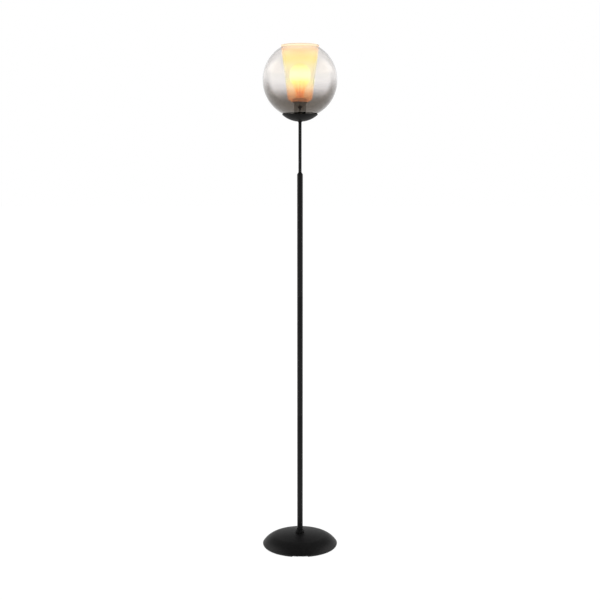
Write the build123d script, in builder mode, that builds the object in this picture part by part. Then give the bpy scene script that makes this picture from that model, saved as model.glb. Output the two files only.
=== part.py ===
"""Floor lamp with a smoked glass globe, an inner frosted glass cone and a slim two-step pole.

Millimetres, +Z up, -Y is the front. The origin is on the floor, under the pole's axis.
Every height is stacked from the floor up: base, pole, dish, lampholder, globe, cone, bulb.
"""

from build123d import *
import math
import os

os.makedirs("parts", exist_ok=True)

# ---------------------------------------------------------------- base
base_widest_radius = 120.9
base_widest_height = 7.0
base_tuck = 2.9
base_edge_radius = 2.0
base_edge_angle = 35.0
base_shoulder_radius = 65.0
base_height = 42.0
base_seat_radius = 15.0
shell_wall = 1.2
shell_edge_height = 1.0
notch_width = 49.0
notch_height = 4.0
floor_pad_inset = 4.9
floor_pad_thickness = 2.0
bottom_plate_thickness = 1.2
bottom_plate_clearance = 0.5
weight_height = 18.0
weight_shell_gap = 0.8
weight_hub_radius = 36.0
weight_boss_radius = 12.0
weight_boss_height = 8.5
weight_pocket_radius = 31.0
weight_web = 14.5
lead_slot_width = 12.0
lead_slot_depth = 18.0
lead_channel_height = 8.0
plate_screw_circle = 80.0
plate_screw_count = 3
plate_screw_radius = 2.0
plate_screw_head_radius = 4.0
plate_screw_head_height = 1.0
plate_screw_length = 12.0
plate_screw_clearance = 0.15
plate_screw_cross = 0.8
foot_collar_radius = 14.2
foot_collar_height = 9.0
foot_collar_edge = 1.2

# ---------------------------------------------------------------- threaded fastenings
thread_radius = 5.0
thread_bore = 3.5
thread_clearance = 0.05
slip_clearance = 0.1
nut_across_flats = 14.0
nut_edge_break = 0.5
base_nut_height = 5.0
base_washer_radius = 11.0
base_washer_thickness = 1.6
lock_washer_radius = 8.5
lock_washer_thickness = 0.8
lock_washer_teeth = 10
lock_washer_tooth = 1.2
base_stud_tail = 2.5
plug_length = 14.0
stud_reach = 12.5

# ---------------------------------------------------------------- pole
pole_radius = 9.0
pole_wall = 1.5
pole_section_length = 387.2
pole_edge_break = 0.3
reducer_height = 5.5
reducer_top_radius = 5.7
upper_tube_rise = 163.7

# ---------------------------------------------------------------- dish
dish_radius = 55.9
dish_curve_radius = 83.3
dish_wall = 1.2
dish_edge_radius = 0.3
dish_flat_radius = 12.0
under_nut_radius = 6.6
under_nut_height = 2.4
under_nut_edge = 0.8
dish_washer_radius = 11.0
dish_washer_thickness = 1.2
dish_nut_height = 4.0

# ---------------------------------------------------------------- lampholder
holder_radius = 19.5
holder_wall = 3.4
holder_height = 61.6
holder_edge = 0.6
ledge_radius = 13.5
ledge_rise = 9.6
ledge_thickness = 2.0
cap_floor = 2.5
cap_wall = 2.0
cap_rise = 5.0
cap_flange_radius = 27.0
cap_flange_thickness = 2.0
core_floor = 13.5
core_height = 34.0
shell_radius = 14.0
screw_shell_wall = 0.4
screw_shell_lift = 4.0
screw_shell_flange = 15.8
contact_rise = 5.0
contact_width = 6.0
contact_thickness = 0.4
contact_foot_length = 9.0
contact_tongue_length = 9.0
side_contact_width = 4.0
side_contact_thickness = 1.0
terminal_screw_offset = 9.0
terminal_screw_radius = 1.5
terminal_screw_head_radius = 2.6
terminal_screw_head_height = 1.6
terminal_screw_length = 6.0
terminal_screw_slot = 0.8
shade_ring_radius = 26.0
shade_ring_height = 6.0
cone_ring_radius = 23.5
cone_ring_height = 4.2
ring_grip_count = 12
ring_grip_radius = 1.5

# ---------------------------------------------------------------- globe and inner cone
globe_radius = 116.2
globe_wall = 2.6
globe_hole_radius = 20.2
globe_mouth_inset = 0.15
glass_edge_radius = 0.9
gasket_radius = 26.4
gasket_thickness = 1.0
upper_gasket_thickness = 1.2
gasket_clearance = 0.03
cone_seat_rise = 53.8
cone_lip_rise = 5.9
cone_rim_radius = 59.3
cone_foot_radius = 37.4
cone_corner_radius = 15.4
cone_wall = 2.5
cone_hole_clearance = 0.5

# ---------------------------------------------------------------- bulb
bulb_contact_gap = 0.3
bulb_contact_radius = 4.8
bulb_contact_height = 0.8
bulb_insulator_radius = 9.5
bulb_insulator_height = 2.6
bulb_cap_radius = 13.1
bulb_cap_wall = 0.5
bulb_cap_length = 24.0
bulb_length = 140.0
bulb_radius = 32.0
bulb_widest_rise = 103.0
bulb_neck_radius = 12.5
bulb_neck_depth = 5.0
bulb_flank_radius = 60.0
bulb_shoulder_radius = 50.0
bulb_glass_wall = 0.8
bulb_collar_rise = 2.0
stem_foot_thickness = 2.0
stem_shoulder_radius = 4.2
stem_radius = 2.0
stem_shoulder_rise = 20.0
stem_taper_rise = 42.0
stem_tip = 1.5
filament_count = 8
filament_foot_circle = 6.4
filament_head_circle = 20.0
filament_radius = 1.2
filament_foot_rise = 40.0
filament_rise = 44.0
support_wire_radius = 0.35

# ---------------------------------------------------------------- wiring inside
cable_radius = 2.6
cable_tail = 4.0
wire_radius = 0.7
wire_offset = 1.3
wire_bend = 2.4
terminal_length = 14.0
terminal_width = 12.0
terminal_height = 9.0
terminal_start = 13.5
terminal_bore_offset = 3.0
terminal_bore_radius = 1.6
terminal_bore_depth = 5.0
terminal_edge = 1.0
clamp_screw_radius = 1.3
clamp_screw_inset = 2.6
clamp_screw_slot = 0.45
clamp_screw_slot_depth = 0.65


def crown_arc_radius(across, rise, shoulder):
    """Give the radius of a crown arc, centred on the axis, that runs on from a shoulder arc.

    The shoulder's centre stands across from the axis, and the crown's top is rise above it.
    """
    return (across**2 + rise**2 - shoulder**2) / (2 * (rise - shoulder))


# ---------------------------------------------------------------- the dome's arcs
base_foot_radius = base_widest_radius - base_tuck
dome_tuck_rise = base_widest_height - shell_edge_height
dome_tuck_radius = (base_tuck**2 + dome_tuck_rise**2) / (2 * base_tuck)
dome_tuck_angle = math.degrees(math.asin(dome_tuck_rise / dome_tuck_radius))
edge_centre = base_widest_radius - base_edge_radius
shoulder_step = base_shoulder_radius - base_edge_radius
shoulder_across = edge_centre - shoulder_step * math.cos(math.radians(base_edge_angle))
shoulder_height = base_widest_height - shoulder_step * math.sin(math.radians(base_edge_angle))
shoulder_drop = base_height - shoulder_height
dome_radius = crown_arc_radius(shoulder_across, shoulder_drop, base_shoulder_radius)
dome_centre = base_height - dome_radius
crown_angle = math.degrees(math.atan2(shoulder_height - dome_centre, shoulder_across))
seat_height = dome_centre + math.sqrt(dome_radius**2 - base_seat_radius**2)

# ---------------------------------------------------------------- heights, stacked from the floor
weight_bottom = floor_pad_thickness + bottom_plate_thickness
weight_top = weight_bottom + weight_height
hub_top = seat_height - shell_wall
web_bottom = hub_top - weight_web
boss_bottom = hub_top - weight_boss_height
lock_washer_top = web_bottom - base_washer_thickness
nut_top = lock_washer_top - lock_washer_thickness
nut_bottom = nut_top - base_nut_height
base_stud_bottom = nut_bottom - base_stud_tail
pole_top = seat_height + 3 * pole_section_length
dish_bottom = pole_top + upper_tube_rise
dish_centre = dish_bottom + math.sqrt(dish_curve_radius**2 - dish_flat_radius**2)
dish_floor = dish_bottom + dish_wall
dish_nut_bottom = dish_floor + dish_washer_thickness
holder_bottom = dish_nut_bottom + dish_nut_height
holder_floor = holder_bottom + cap_floor
seat_top = holder_bottom + cap_rise
globe_inner_radius = globe_radius - globe_wall
globe_drop = math.sqrt(globe_radius**2 - globe_hole_radius**2)
globe_centre = seat_top + gasket_thickness + globe_drop
gasket_drop = math.sqrt(globe_inner_radius**2 - gasket_radius**2)
shade_ring_bottom = globe_centre - gasket_drop + upper_gasket_thickness
ledge_bottom = holder_floor + ledge_rise
ledge_top = ledge_bottom + ledge_thickness
core_floor_top = ledge_top + core_floor
core_top = ledge_top + core_height
cone_seat = holder_bottom + cone_seat_rise
globe_mouth_radius = cone_rim_radius - globe_mouth_inset
globe_mouth = globe_centre + math.sqrt(globe_radius**2 - globe_mouth_radius**2)
cone_top = globe_mouth + cone_lip_rise
cone_slope = (cone_rim_radius - cone_foot_radius) / (cone_top - cone_seat)
cone_ring_bottom = cone_seat + cone_wall
contact_top = core_floor_top + contact_rise
bulb_bottom = contact_top + bulb_contact_gap
insulator_bottom = bulb_bottom + bulb_contact_height
bulb_cap_bottom = insulator_bottom + bulb_insulator_height
bulb_cap_top = bulb_cap_bottom + bulb_cap_length
bulb_neck_bottom = bulb_cap_top - bulb_neck_depth
stem_foot_top = bulb_neck_bottom + stem_foot_thickness
filament_foot = bulb_bottom + filament_foot_rise
filament_top = filament_foot + filament_rise
cable_top = holder_floor + cable_tail
cable_bottom = base_stud_bottom - cable_tail

# ---------------------------------------------------------------- the bulb's arcs
bulb_collar = bulb_cap_top + bulb_collar_rise
bulb_widest = bulb_bottom + bulb_widest_rise
flare_across = bulb_radius - bulb_neck_radius
flare_rise = bulb_widest - bulb_collar
flare_reach = (flare_across**2 + flare_rise**2) / (2 * flare_across)
flare_radius = flare_reach - bulb_flank_radius
flare_angle = math.degrees(math.asin(flare_rise / flare_reach))
crown_rise = bulb_length - bulb_widest_rise
crown_across = bulb_shoulder_radius - bulb_radius
crown_radius = crown_arc_radius(crown_across, crown_rise, bulb_shoulder_radius)
bulb_crown_centre = bulb_widest + crown_rise - crown_radius
shoulder_angle = math.degrees(math.atan2(bulb_crown_centre - bulb_widest, crown_across))

# ---------------------------------------------------------------- radii that follow their neighbours
tapped_radius = thread_radius + thread_clearance
slip_radius = thread_radius + slip_clearance
pole_bore = pole_radius - pole_wall
bottom_plate_radius = base_foot_radius - shell_wall - bottom_plate_clearance
floor_pad_radius = bottom_plate_radius - floor_pad_inset
holder_bore = holder_radius - holder_wall
holder_thread_bore = holder_radius + thread_clearance
cap_bore = holder_radius + slip_clearance
cap_radius = cap_bore + cap_wall
core_radius = holder_bore - slip_clearance
core_bore = shell_radius + slip_clearance
screw_shell_bore = shell_radius - screw_shell_wall
cone_hole_radius = holder_radius + cone_hole_clearance
cone_wall_across = cone_wall * math.hypot(1, cone_slope)
nut_corner_radius = nut_across_flats / math.sqrt(3)
plate_hole_radius = plate_screw_radius + plate_screw_clearance


def dome_outline(inset):
    """Draw half the dome's outline, moved inwards by inset, and give its foot and its top."""
    tuck_centre = (base_widest_radius - dome_tuck_radius, base_widest_height)
    shoulder_centre = (shoulder_across, shoulder_height)
    shoulder_turn = crown_angle - base_edge_angle
    tuck = CenterArc(tuck_centre, dome_tuck_radius - inset, -dome_tuck_angle, dome_tuck_angle)
    CenterArc((edge_centre, base_widest_height), base_edge_radius - inset, 0, base_edge_angle)
    CenterArc(shoulder_centre, base_shoulder_radius - inset, base_edge_angle, shoulder_turn)
    crown = CenterArc((0, dome_centre), dome_radius - inset, crown_angle, 90 - crown_angle)
    Polyline(tuck @ 0, ((tuck @ 0).X, 0), (0, 0), crown @ 1)


def level_cut(bottom, top):
    """Keep the part of a sketched half section that lies between two heights."""
    span = 2 * base_widest_radius
    with Locations((0, bottom)):
        Rectangle(span, top - bottom, align=(Align.CENTER, Align.MIN), mode=Mode.INTERSECT)


def bulb_outline(inset):
    """Draw half the bulb's outline, moved inwards by inset, from its neck to its crown."""
    flare_centre = (bulb_neck_radius + flare_radius, bulb_collar)
    flank_centre = (bulb_radius - bulb_flank_radius, bulb_widest)
    shoulder_centre = (bulb_radius - bulb_shoulder_radius, bulb_widest)
    crown_turn = 90 - shoulder_angle
    neck = (bulb_neck_radius - inset, bulb_neck_bottom)
    Line(neck, (bulb_neck_radius - inset, bulb_collar))
    CenterArc(flare_centre, flare_radius + inset, 180, -flare_angle)
    CenterArc(flank_centre, bulb_flank_radius - inset, -flare_angle, flare_angle)
    CenterArc(shoulder_centre, bulb_shoulder_radius - inset, 0, shoulder_angle)
    crown = CenterArc((0, bulb_crown_centre), crown_radius - inset, shoulder_angle, crown_turn)
    Polyline(crown @ 1, (0, bulb_neck_bottom), neck)


# ================================================================ BASE
# Steel dome, spun from sheet, with a flat seat for the collar and a notch for a flat lead.
with BuildPart() as base_shell:
    with BuildSketch(Plane.XZ):
        with BuildLine():
            dome_outline(0)
        make_face()
        level_cut(shell_edge_height, seat_height)
    revolve(axis=Axis.Z)
    with BuildSketch(Plane.XZ):
        with BuildLine():
            dome_outline(shell_wall)
        make_face()
        level_cut(0, hub_top)
    revolve(axis=Axis.Z, mode=Mode.SUBTRACT)
    with BuildSketch(Plane.XY.offset(hub_top)):
        Circle(slip_radius)
    extrude(amount=2 * shell_wall, mode=Mode.SUBTRACT)
    with BuildSketch(Plane.XZ.offset(bottom_plate_radius - lead_slot_depth)):
        Rectangle(notch_width, 2 * notch_height)
    extrude(amount=base_widest_radius, mode=Mode.SUBTRACT)
base_shell.part.label = "base_shell"
export_step(base_shell.part, "parts/base_shell.step")

# Cast iron weight that fills the lower dome and carries the dome's seat on its boss.
with BuildPart() as base_weight:
    with BuildSketch(Plane.XZ):
        with BuildLine():
            dome_outline(shell_wall + weight_shell_gap)
        make_face()
        level_cut(weight_bottom, weight_top)
    revolve(axis=Axis.Z)
    with BuildSketch(Plane.XY.offset(weight_bottom)):
        Circle(weight_hub_radius)
    extrude(amount=boss_bottom - weight_bottom)
    with BuildSketch(Plane.XY.offset(boss_bottom)):
        Circle(weight_boss_radius)
    extrude(amount=weight_boss_height)
    with BuildSketch(Plane.XY.offset(weight_bottom)):
        Circle(weight_pocket_radius)
    extrude(amount=web_bottom - weight_bottom, mode=Mode.SUBTRACT)
    with BuildSketch(Plane.XY.offset(web_bottom)):
        Circle(slip_radius)
    extrude(amount=weight_web, mode=Mode.SUBTRACT)
    with BuildSketch(Plane.XY.offset(weight_bottom)):
        Rectangle(lead_slot_width, base_widest_radius, align=(Align.CENTER, Align.MAX))
    extrude(amount=lead_channel_height, mode=Mode.SUBTRACT)
    with BuildSketch(Plane.XY.offset(weight_bottom)):
        with PolarLocations(plate_screw_circle, plate_screw_count, start_angle=90):
            Circle(plate_hole_radius)
    extrude(amount=plate_screw_length, mode=Mode.SUBTRACT)
base_weight.part.label = "base_weight"
export_step(base_weight.part, "parts/base_weight.step")

# Sheet steel plate that closes the base from below, slotted for the lead.
with BuildPart() as bottom_plate:
    with BuildSketch(Plane.XY.offset(floor_pad_thickness)):
        Circle(bottom_plate_radius)
        with Locations((0, -bottom_plate_radius)):
            Rectangle(lead_slot_width, 2 * lead_slot_depth, mode=Mode.SUBTRACT)
        with PolarLocations(plate_screw_circle, plate_screw_count, start_angle=90):
            Circle(plate_hole_radius, mode=Mode.SUBTRACT)
    extrude(amount=bottom_plate_thickness)
bottom_plate.part.label = "bottom_plate"
export_step(bottom_plate.part, "parts/bottom_plate.step")

# Foam floor pad glued under the plate, with clearance round the screw heads.
with BuildPart() as floor_pad:
    with BuildSketch():
        Circle(floor_pad_radius)
        with Locations((0, -bottom_plate_radius)):
            Rectangle(lead_slot_width, 2 * lead_slot_depth, mode=Mode.SUBTRACT)
        with PolarLocations(plate_screw_circle, plate_screw_count, start_angle=90):
            Circle(plate_screw_head_radius + bottom_plate_clearance, mode=Mode.SUBTRACT)
    extrude(amount=floor_pad_thickness)
floor_pad.part.label = "floor_pad"
export_step(floor_pad.part, "parts/floor_pad.step")

# Screws that hold the plate to the weight, with a cross recess in each head.
with BuildPart() as plate_screws:
    with BuildSketch(Plane.XY.offset(floor_pad_thickness)):
        with PolarLocations(plate_screw_circle, plate_screw_count, start_angle=90):
            Circle(plate_screw_head_radius)
    extrude(amount=-plate_screw_head_height)
    with BuildSketch(Plane.XY.offset(floor_pad_thickness)):
        with PolarLocations(plate_screw_circle, plate_screw_count, start_angle=90):
            Circle(plate_screw_radius)
    extrude(amount=plate_screw_length)
    with BuildSketch(Plane.XY.offset(floor_pad_thickness - plate_screw_head_height)):
        with PolarLocations(plate_screw_circle, plate_screw_count, start_angle=90):
            Rectangle(plate_screw_head_radius, plate_screw_cross)
            Rectangle(plate_screw_cross, plate_screw_head_radius)
    extrude(amount=plate_screw_head_height / 2, mode=Mode.SUBTRACT)
plate_screws.part.label = "plate_screws"
export_step(plate_screws.part, "parts/plate_screws.step")

# Hollow threaded stud that ties the weight and the dome to the pole.
with BuildPart() as base_stud:
    with BuildSketch(Plane.XY.offset(base_stud_bottom)):
        Circle(thread_radius)
        Circle(thread_bore, mode=Mode.SUBTRACT)
    extrude(amount=seat_height + stud_reach - base_stud_bottom)
base_stud.part.label = "base_stud"
export_step(base_stud.part, "parts/base_stud.step")

with BuildPart() as base_washer:
    with BuildSketch(Plane.XY.offset(lock_washer_top)):
        Circle(base_washer_radius)
        Circle(slip_radius, mode=Mode.SUBTRACT)
    extrude(amount=base_washer_thickness)
base_washer.part.label = "base_washer"
export_step(base_washer.part, "parts/base_washer.step")

with BuildPart() as lock_washer:
    with BuildSketch(Plane.XY.offset(nut_top)):
        Circle(lock_washer_radius)
        Circle(slip_radius, mode=Mode.SUBTRACT)
        with PolarLocations(lock_washer_radius, lock_washer_teeth):
            Rectangle(2 * lock_washer_tooth, lock_washer_tooth, mode=Mode.SUBTRACT)
    extrude(amount=lock_washer_thickness)
lock_washer.part.label = "lock_washer"
export_step(lock_washer.part, "parts/lock_washer.step")

with BuildPart() as base_nut:
    with BuildSketch(Plane.XY.offset(nut_bottom)):
        RegularPolygon(nut_corner_radius, 6)
        Circle(tapped_radius, mode=Mode.SUBTRACT)
    extrude(amount=base_nut_height)
    chamfer(base_nut.edges().filter_by(GeomType.CIRCLE), nut_edge_break)
base_nut.part.label = "base_nut"
export_step(base_nut.part, "parts/base_nut.step")

# Turned collar that hides the gap between the pole's foot and the dome.
with BuildPart() as foot_collar:
    with BuildSketch(Plane.XY.offset(seat_height)):
        Circle(foot_collar_radius)
        Circle(pole_radius + slip_clearance, mode=Mode.SUBTRACT)
    extrude(amount=foot_collar_height)
    top_edges = foot_collar.edges().group_by(Axis.Z)[-1]
    fillet(top_edges.sort_by(SortBy.RADIUS)[-1], foot_collar_edge)
foot_collar.part.label = "foot_collar"
export_step(foot_collar.part, "parts/foot_collar.step")

# Terminal block on the plate, in the weight's pocket, where the lead would be joined.
terminal_axis = weight_bottom + terminal_height / 2
terminal_bore_spots = [(side * terminal_bore_offset, terminal_axis) for side in (-1, 1)]
clamp_screw_columns = (clamp_screw_inset, terminal_length - clamp_screw_inset)
clamp_screw_spots = [
    (terminal_start + column, side * terminal_bore_offset)
    for column in clamp_screw_columns
    for side in (-1, 1)
]
with BuildPart() as terminal_block:
    with BuildSketch(Plane.XY.offset(weight_bottom)):
        with Locations((terminal_start, 0)):
            Rectangle(terminal_length, terminal_width, align=(Align.MIN, Align.CENTER))
    extrude(amount=terminal_height)
    fillet(terminal_block.edges().filter_by(Axis.Z), terminal_edge)
    with BuildSketch(Plane.YZ.offset(terminal_start)):
        with Locations(*terminal_bore_spots):
            Circle(terminal_bore_radius)
    extrude(amount=terminal_bore_depth, mode=Mode.SUBTRACT)
    with BuildSketch(Plane.YZ.offset(terminal_start + terminal_length)):
        with Locations(*terminal_bore_spots):
            Circle(terminal_bore_radius)
    extrude(amount=-terminal_bore_depth, mode=Mode.SUBTRACT)
    with BuildSketch(Plane.XY.offset(weight_bottom + terminal_height)):
        with Locations(*clamp_screw_spots):
            Circle(clamp_screw_radius + thread_clearance)
    extrude(amount=terminal_axis - weight_bottom - terminal_height, mode=Mode.SUBTRACT)
terminal_block.part.label = "terminal_block"
export_step(terminal_block.part, "parts/terminal_block.step")

# Four brass clamp screws, slotted, down onto the wires.
clamp_screw_bottom = terminal_axis + wire_radius + slip_clearance
clamp_screw_top = weight_bottom + terminal_height
with BuildPart() as clamp_screws:
    with BuildSketch(Plane.XY.offset(clamp_screw_bottom)):
        with Locations(*clamp_screw_spots):
            Circle(clamp_screw_radius)
    extrude(amount=clamp_screw_top - clamp_screw_bottom)
    with BuildSketch(Plane.XY.offset(clamp_screw_top)):
        with Locations(*clamp_screw_spots):
            Rectangle(2 * clamp_screw_radius, clamp_screw_slot)
    extrude(amount=-clamp_screw_slot_depth, mode=Mode.SUBTRACT)
clamp_screws.part.label = "clamp_screws"
export_step(clamp_screws.part, "parts/clamp_screws.step")

# ================================================================ POLE
# Three equal tubes of the lower pole, screwed end to end.
pole_levels = [seat_height + index * pole_section_length for index in range(3)]

with BuildPart() as pole_section_lower:
    with BuildSketch(Plane.XY.offset(pole_levels[0])):
        Circle(pole_radius)
        Circle(pole_bore, mode=Mode.SUBTRACT)
    extrude(amount=pole_section_length)
    chamfer(pole_section_lower.edges().filter_by(GeomType.CIRCLE), pole_edge_break)
pole_section_lower.part.label = "pole_section_lower"
export_step(pole_section_lower.part, "parts/pole_section_lower.step")

with BuildPart() as pole_section_middle:
    with BuildSketch(Plane.XY.offset(pole_levels[1])):
        Circle(pole_radius)
        Circle(pole_bore, mode=Mode.SUBTRACT)
    extrude(amount=pole_section_length)
    chamfer(pole_section_middle.edges().filter_by(GeomType.CIRCLE), pole_edge_break)
pole_section_middle.part.label = "pole_section_middle"
export_step(pole_section_middle.part, "parts/pole_section_middle.step")

with BuildPart() as pole_section_upper:
    with BuildSketch(Plane.XY.offset(pole_levels[2])):
        Circle(pole_radius)
        Circle(pole_bore, mode=Mode.SUBTRACT)
    extrude(amount=pole_section_length)
    chamfer(pole_section_upper.edges().filter_by(GeomType.CIRCLE), pole_edge_break)
pole_section_upper.part.label = "pole_section_upper"
export_step(pole_section_upper.part, "parts/pole_section_upper.step")

# Tapped steel plugs pressed into both ends of every tube.
with BuildPart() as pole_plugs:
    for level in pole_levels:
        for plug_bottom in (level, level + pole_section_length - plug_length):
            with BuildSketch(Plane.XY.offset(plug_bottom)):
                Circle(pole_bore - thread_clearance)
                Circle(tapped_radius, mode=Mode.SUBTRACT)
            extrude(amount=plug_length - pole_edge_break)
pole_plugs.part.label = "pole_plugs"
export_step(pole_plugs.part, "parts/pole_plugs.step")

# Hollow studs that join the tubes, each half way into two plugs.
with BuildPart() as pole_studs:
    for level in pole_levels[1:]:
        with BuildSketch(Plane.XY.offset(level - stud_reach)):
            Circle(thread_radius)
            Circle(thread_bore, mode=Mode.SUBTRACT)
        extrude(amount=2 * stud_reach)
pole_studs.part.label = "pole_studs"
export_step(pole_studs.part, "parts/pole_studs.step")

# Turned cone that steps the pole down to the thin tube.
with BuildPart() as reducer_cone:
    with BuildSketch(Plane.XZ):
        with BuildLine():
            Polyline(
                (slip_radius, pole_top),
                (pole_radius, pole_top),
                (reducer_top_radius, pole_top + reducer_height),
                (slip_radius, pole_top + reducer_height),
                close=True,
            )
        make_face()
    revolve(axis=Axis.Z)
reducer_cone.part.label = "reducer_cone"
export_step(reducer_cone.part, "parts/reducer_cone.step")

# Thin tube, threaded at both ends, from the pole's top plug into the lampholder.
upper_tube_bottom = pole_top - stud_reach
upper_tube_top = holder_floor + cable_tail / 2
with BuildPart() as upper_tube:
    with BuildSketch(Plane.XY.offset(upper_tube_bottom)):
        Circle(thread_radius)
        Circle(thread_bore, mode=Mode.SUBTRACT)
    extrude(amount=upper_tube_top - upper_tube_bottom)
upper_tube.part.label = "upper_tube"
export_step(upper_tube.part, "parts/upper_tube.step")

# ================================================================ DISH
# Shallow spun dish with a flat middle, under the globe.
with BuildPart() as dish:
    with BuildSketch(Plane.XZ):
        with Locations((0, dish_centre)):
            Circle(dish_curve_radius)
            Circle(dish_curve_radius - dish_wall, mode=Mode.SUBTRACT)
        with Locations((slip_radius, dish_bottom)):
            Rectangle(dish_flat_radius - slip_radius, dish_wall, align=Align.MIN)
        with Locations((slip_radius, dish_bottom)):
            Rectangle(dish_radius - slip_radius, dish_curve_radius, align=Align.MIN, mode=Mode.INTERSECT)
    revolve(axis=Axis.Z)
    fillet(dish.edges().group_by(Axis.Z)[-1], dish_edge_radius)
dish.part.label = "dish"
export_step(dish.part, "parts/dish.step")

with BuildPart() as under_nut:
    with BuildSketch(Plane.XY.offset(dish_bottom)):
        Circle(under_nut_radius)
        Circle(tapped_radius, mode=Mode.SUBTRACT)
    extrude(amount=-under_nut_height)
    rim = under_nut.edges().group_by(Axis.Z)[0].sort_by(SortBy.RADIUS)[-1]
    chamfer(rim, under_nut_edge)
under_nut.part.label = "under_nut"
export_step(under_nut.part, "parts/under_nut.step")

with BuildPart() as dish_washer:
    with BuildSketch(Plane.XY.offset(dish_floor)):
        Circle(dish_washer_radius)
        Circle(slip_radius, mode=Mode.SUBTRACT)
    extrude(amount=dish_washer_thickness)
dish_washer.part.label = "dish_washer"
export_step(dish_washer.part, "parts/dish_washer.step")

with BuildPart() as dish_nut:
    with BuildSketch(Plane.XY.offset(dish_nut_bottom)):
        RegularPolygon(nut_corner_radius, 6)
        Circle(tapped_radius, mode=Mode.SUBTRACT)
    extrude(amount=dish_nut_height)
    chamfer(dish_nut.edges().filter_by(GeomType.CIRCLE), nut_edge_break)
dish_nut.part.label = "dish_nut"
export_step(dish_nut.part, "parts/dish_nut.step")

# ================================================================ LAMPHOLDER
# Moulded cup that screws on the thin tube; its flange carries the globe.
with BuildPart() as holder_cup:
    with BuildSketch(Plane.XY.offset(holder_bottom)):
        Circle(cap_radius)
        Circle(tapped_radius, mode=Mode.SUBTRACT)
    extrude(amount=cap_floor)
    with BuildSketch(Plane.XY.offset(holder_floor)):
        Circle(cap_radius)
        Circle(cap_bore, mode=Mode.SUBTRACT)
    extrude(amount=cap_rise - cap_floor)
    with BuildSketch(Plane.XY.offset(seat_top)):
        Circle(cap_flange_radius)
        Circle(cap_bore, mode=Mode.SUBTRACT)
    extrude(amount=-cap_flange_thickness)
holder_cup.part.label = "holder_cup"
export_step(holder_cup.part, "parts/holder_cup.step")

# Threaded skirt with an inner ledge for the core.
with BuildPart() as holder_skirt:
    with BuildSketch(Plane.XY.offset(holder_floor)):
        Circle(holder_radius)
        Circle(holder_bore, mode=Mode.SUBTRACT)
    extrude(amount=holder_height)
    with BuildSketch(Plane.XY.offset(ledge_bottom)):
        Circle(holder_bore)
        Circle(ledge_radius, mode=Mode.SUBTRACT)
    extrude(amount=ledge_thickness)
    skirt_rim = holder_skirt.edges().group_by(Axis.Z)[-1]
    chamfer(skirt_rim, holder_edge)
holder_skirt.part.label = "holder_skirt"
export_step(holder_skirt.part, "parts/holder_skirt.step")

# Insulating core: a solid floor for the contacts and a cup for the screw shell.
terminal_screw_spots = [(side * terminal_screw_offset, 0) for side in (-1, 1)]
with BuildPart() as holder_core:
    with BuildSketch(Plane.XY.offset(ledge_top)):
        Circle(core_radius)
    extrude(amount=core_height)
    with BuildSketch(Plane.XY.offset(core_floor_top)):
        Circle(core_bore)
    extrude(amount=core_height, mode=Mode.SUBTRACT)
    with BuildSketch(Plane.XY.offset(ledge_top)):
        with Locations(*terminal_screw_spots):
            Circle(terminal_screw_radius + slip_clearance)
    extrude(amount=terminal_screw_length, mode=Mode.SUBTRACT)
holder_core.part.label = "holder_core"
export_step(holder_core.part, "parts/holder_core.step")

screw_shell_bottom = core_floor_top + screw_shell_lift
with BuildPart() as screw_shell:
    with BuildSketch(Plane.XY.offset(screw_shell_bottom)):
        Circle(shell_radius)
        Circle(screw_shell_bore, mode=Mode.SUBTRACT)
    extrude(amount=core_top - screw_shell_bottom)
    with BuildSketch(Plane.XY.offset(core_top)):
        Circle(screw_shell_flange)
        Circle(screw_shell_bore, mode=Mode.SUBTRACT)
    extrude(amount=screw_shell_wall)
screw_shell.part.label = "screw_shell"
export_step(screw_shell.part, "parts/screw_shell.step")

# Brass leaf that presses up on the bulb's tip: foot, riser and tongue of one bent strip.
with BuildPart() as centre_contact:
    with BuildSketch(Plane.XZ.offset(-contact_width / 2)):
        with BuildLine():
            FilletPolyline(
                (-contact_foot_length, core_floor_top + contact_thickness / 2),
                (-contact_foot_length / 2, core_floor_top + contact_thickness / 2),
                (-contact_foot_length / 2, contact_top - contact_thickness / 2),
                (contact_tongue_length / 2, contact_top - contact_thickness / 2),
                radius=contact_thickness,
            )
        trace(line_width=contact_thickness)
    extrude(amount=contact_width)
centre_contact.part.label = "centre_contact"
export_step(centre_contact.part, "parts/centre_contact.step")

with BuildPart() as side_contact:
    with BuildSketch(Plane.XY.offset(core_floor_top)):
        with Locations((shell_radius - slip_clearance, 0)):
            side_align = (Align.MAX, Align.CENTER)
            Rectangle(side_contact_thickness, side_contact_width, align=side_align)
    extrude(amount=screw_shell_lift)
side_contact.part.label = "side_contact"
export_step(side_contact.part, "parts/side_contact.step")

# Two terminal screws up into the core, heads downwards.
with BuildPart() as terminal_screws:
    with BuildSketch(Plane.XY.offset(ledge_top)):
        with Locations(*terminal_screw_spots):
            Circle(terminal_screw_head_radius)
    extrude(amount=-terminal_screw_head_height)
    with BuildSketch(Plane.XY.offset(ledge_top)):
        with Locations(*terminal_screw_spots):
            Circle(terminal_screw_radius)
    extrude(amount=terminal_screw_length)
    with BuildSketch(Plane.XY.offset(ledge_top - terminal_screw_head_height)):
        with Locations(*terminal_screw_spots):
            Rectangle(2 * terminal_screw_head_radius, terminal_screw_slot)
    extrude(amount=terminal_screw_head_height / 2, mode=Mode.SUBTRACT)
terminal_screws.part.label = "terminal_screws"
export_step(terminal_screws.part, "parts/terminal_screws.step")

# ================================================================ GLOBE
# Soft washer between the flange and the globe, shaped to the glass.
with BuildPart() as globe_gasket:
    with BuildSketch(Plane.XZ):
        with Locations((cone_hole_radius, seat_top)):
            Rectangle(gasket_radius - cone_hole_radius, globe_drop, align=Align.MIN)
        with Locations((0, globe_centre)):
            Circle(globe_radius + gasket_clearance, mode=Mode.SUBTRACT)
    revolve(axis=Axis.Z)
globe_gasket.part.label = "globe_gasket"
export_step(globe_gasket.part, "parts/globe_gasket.step")

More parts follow.
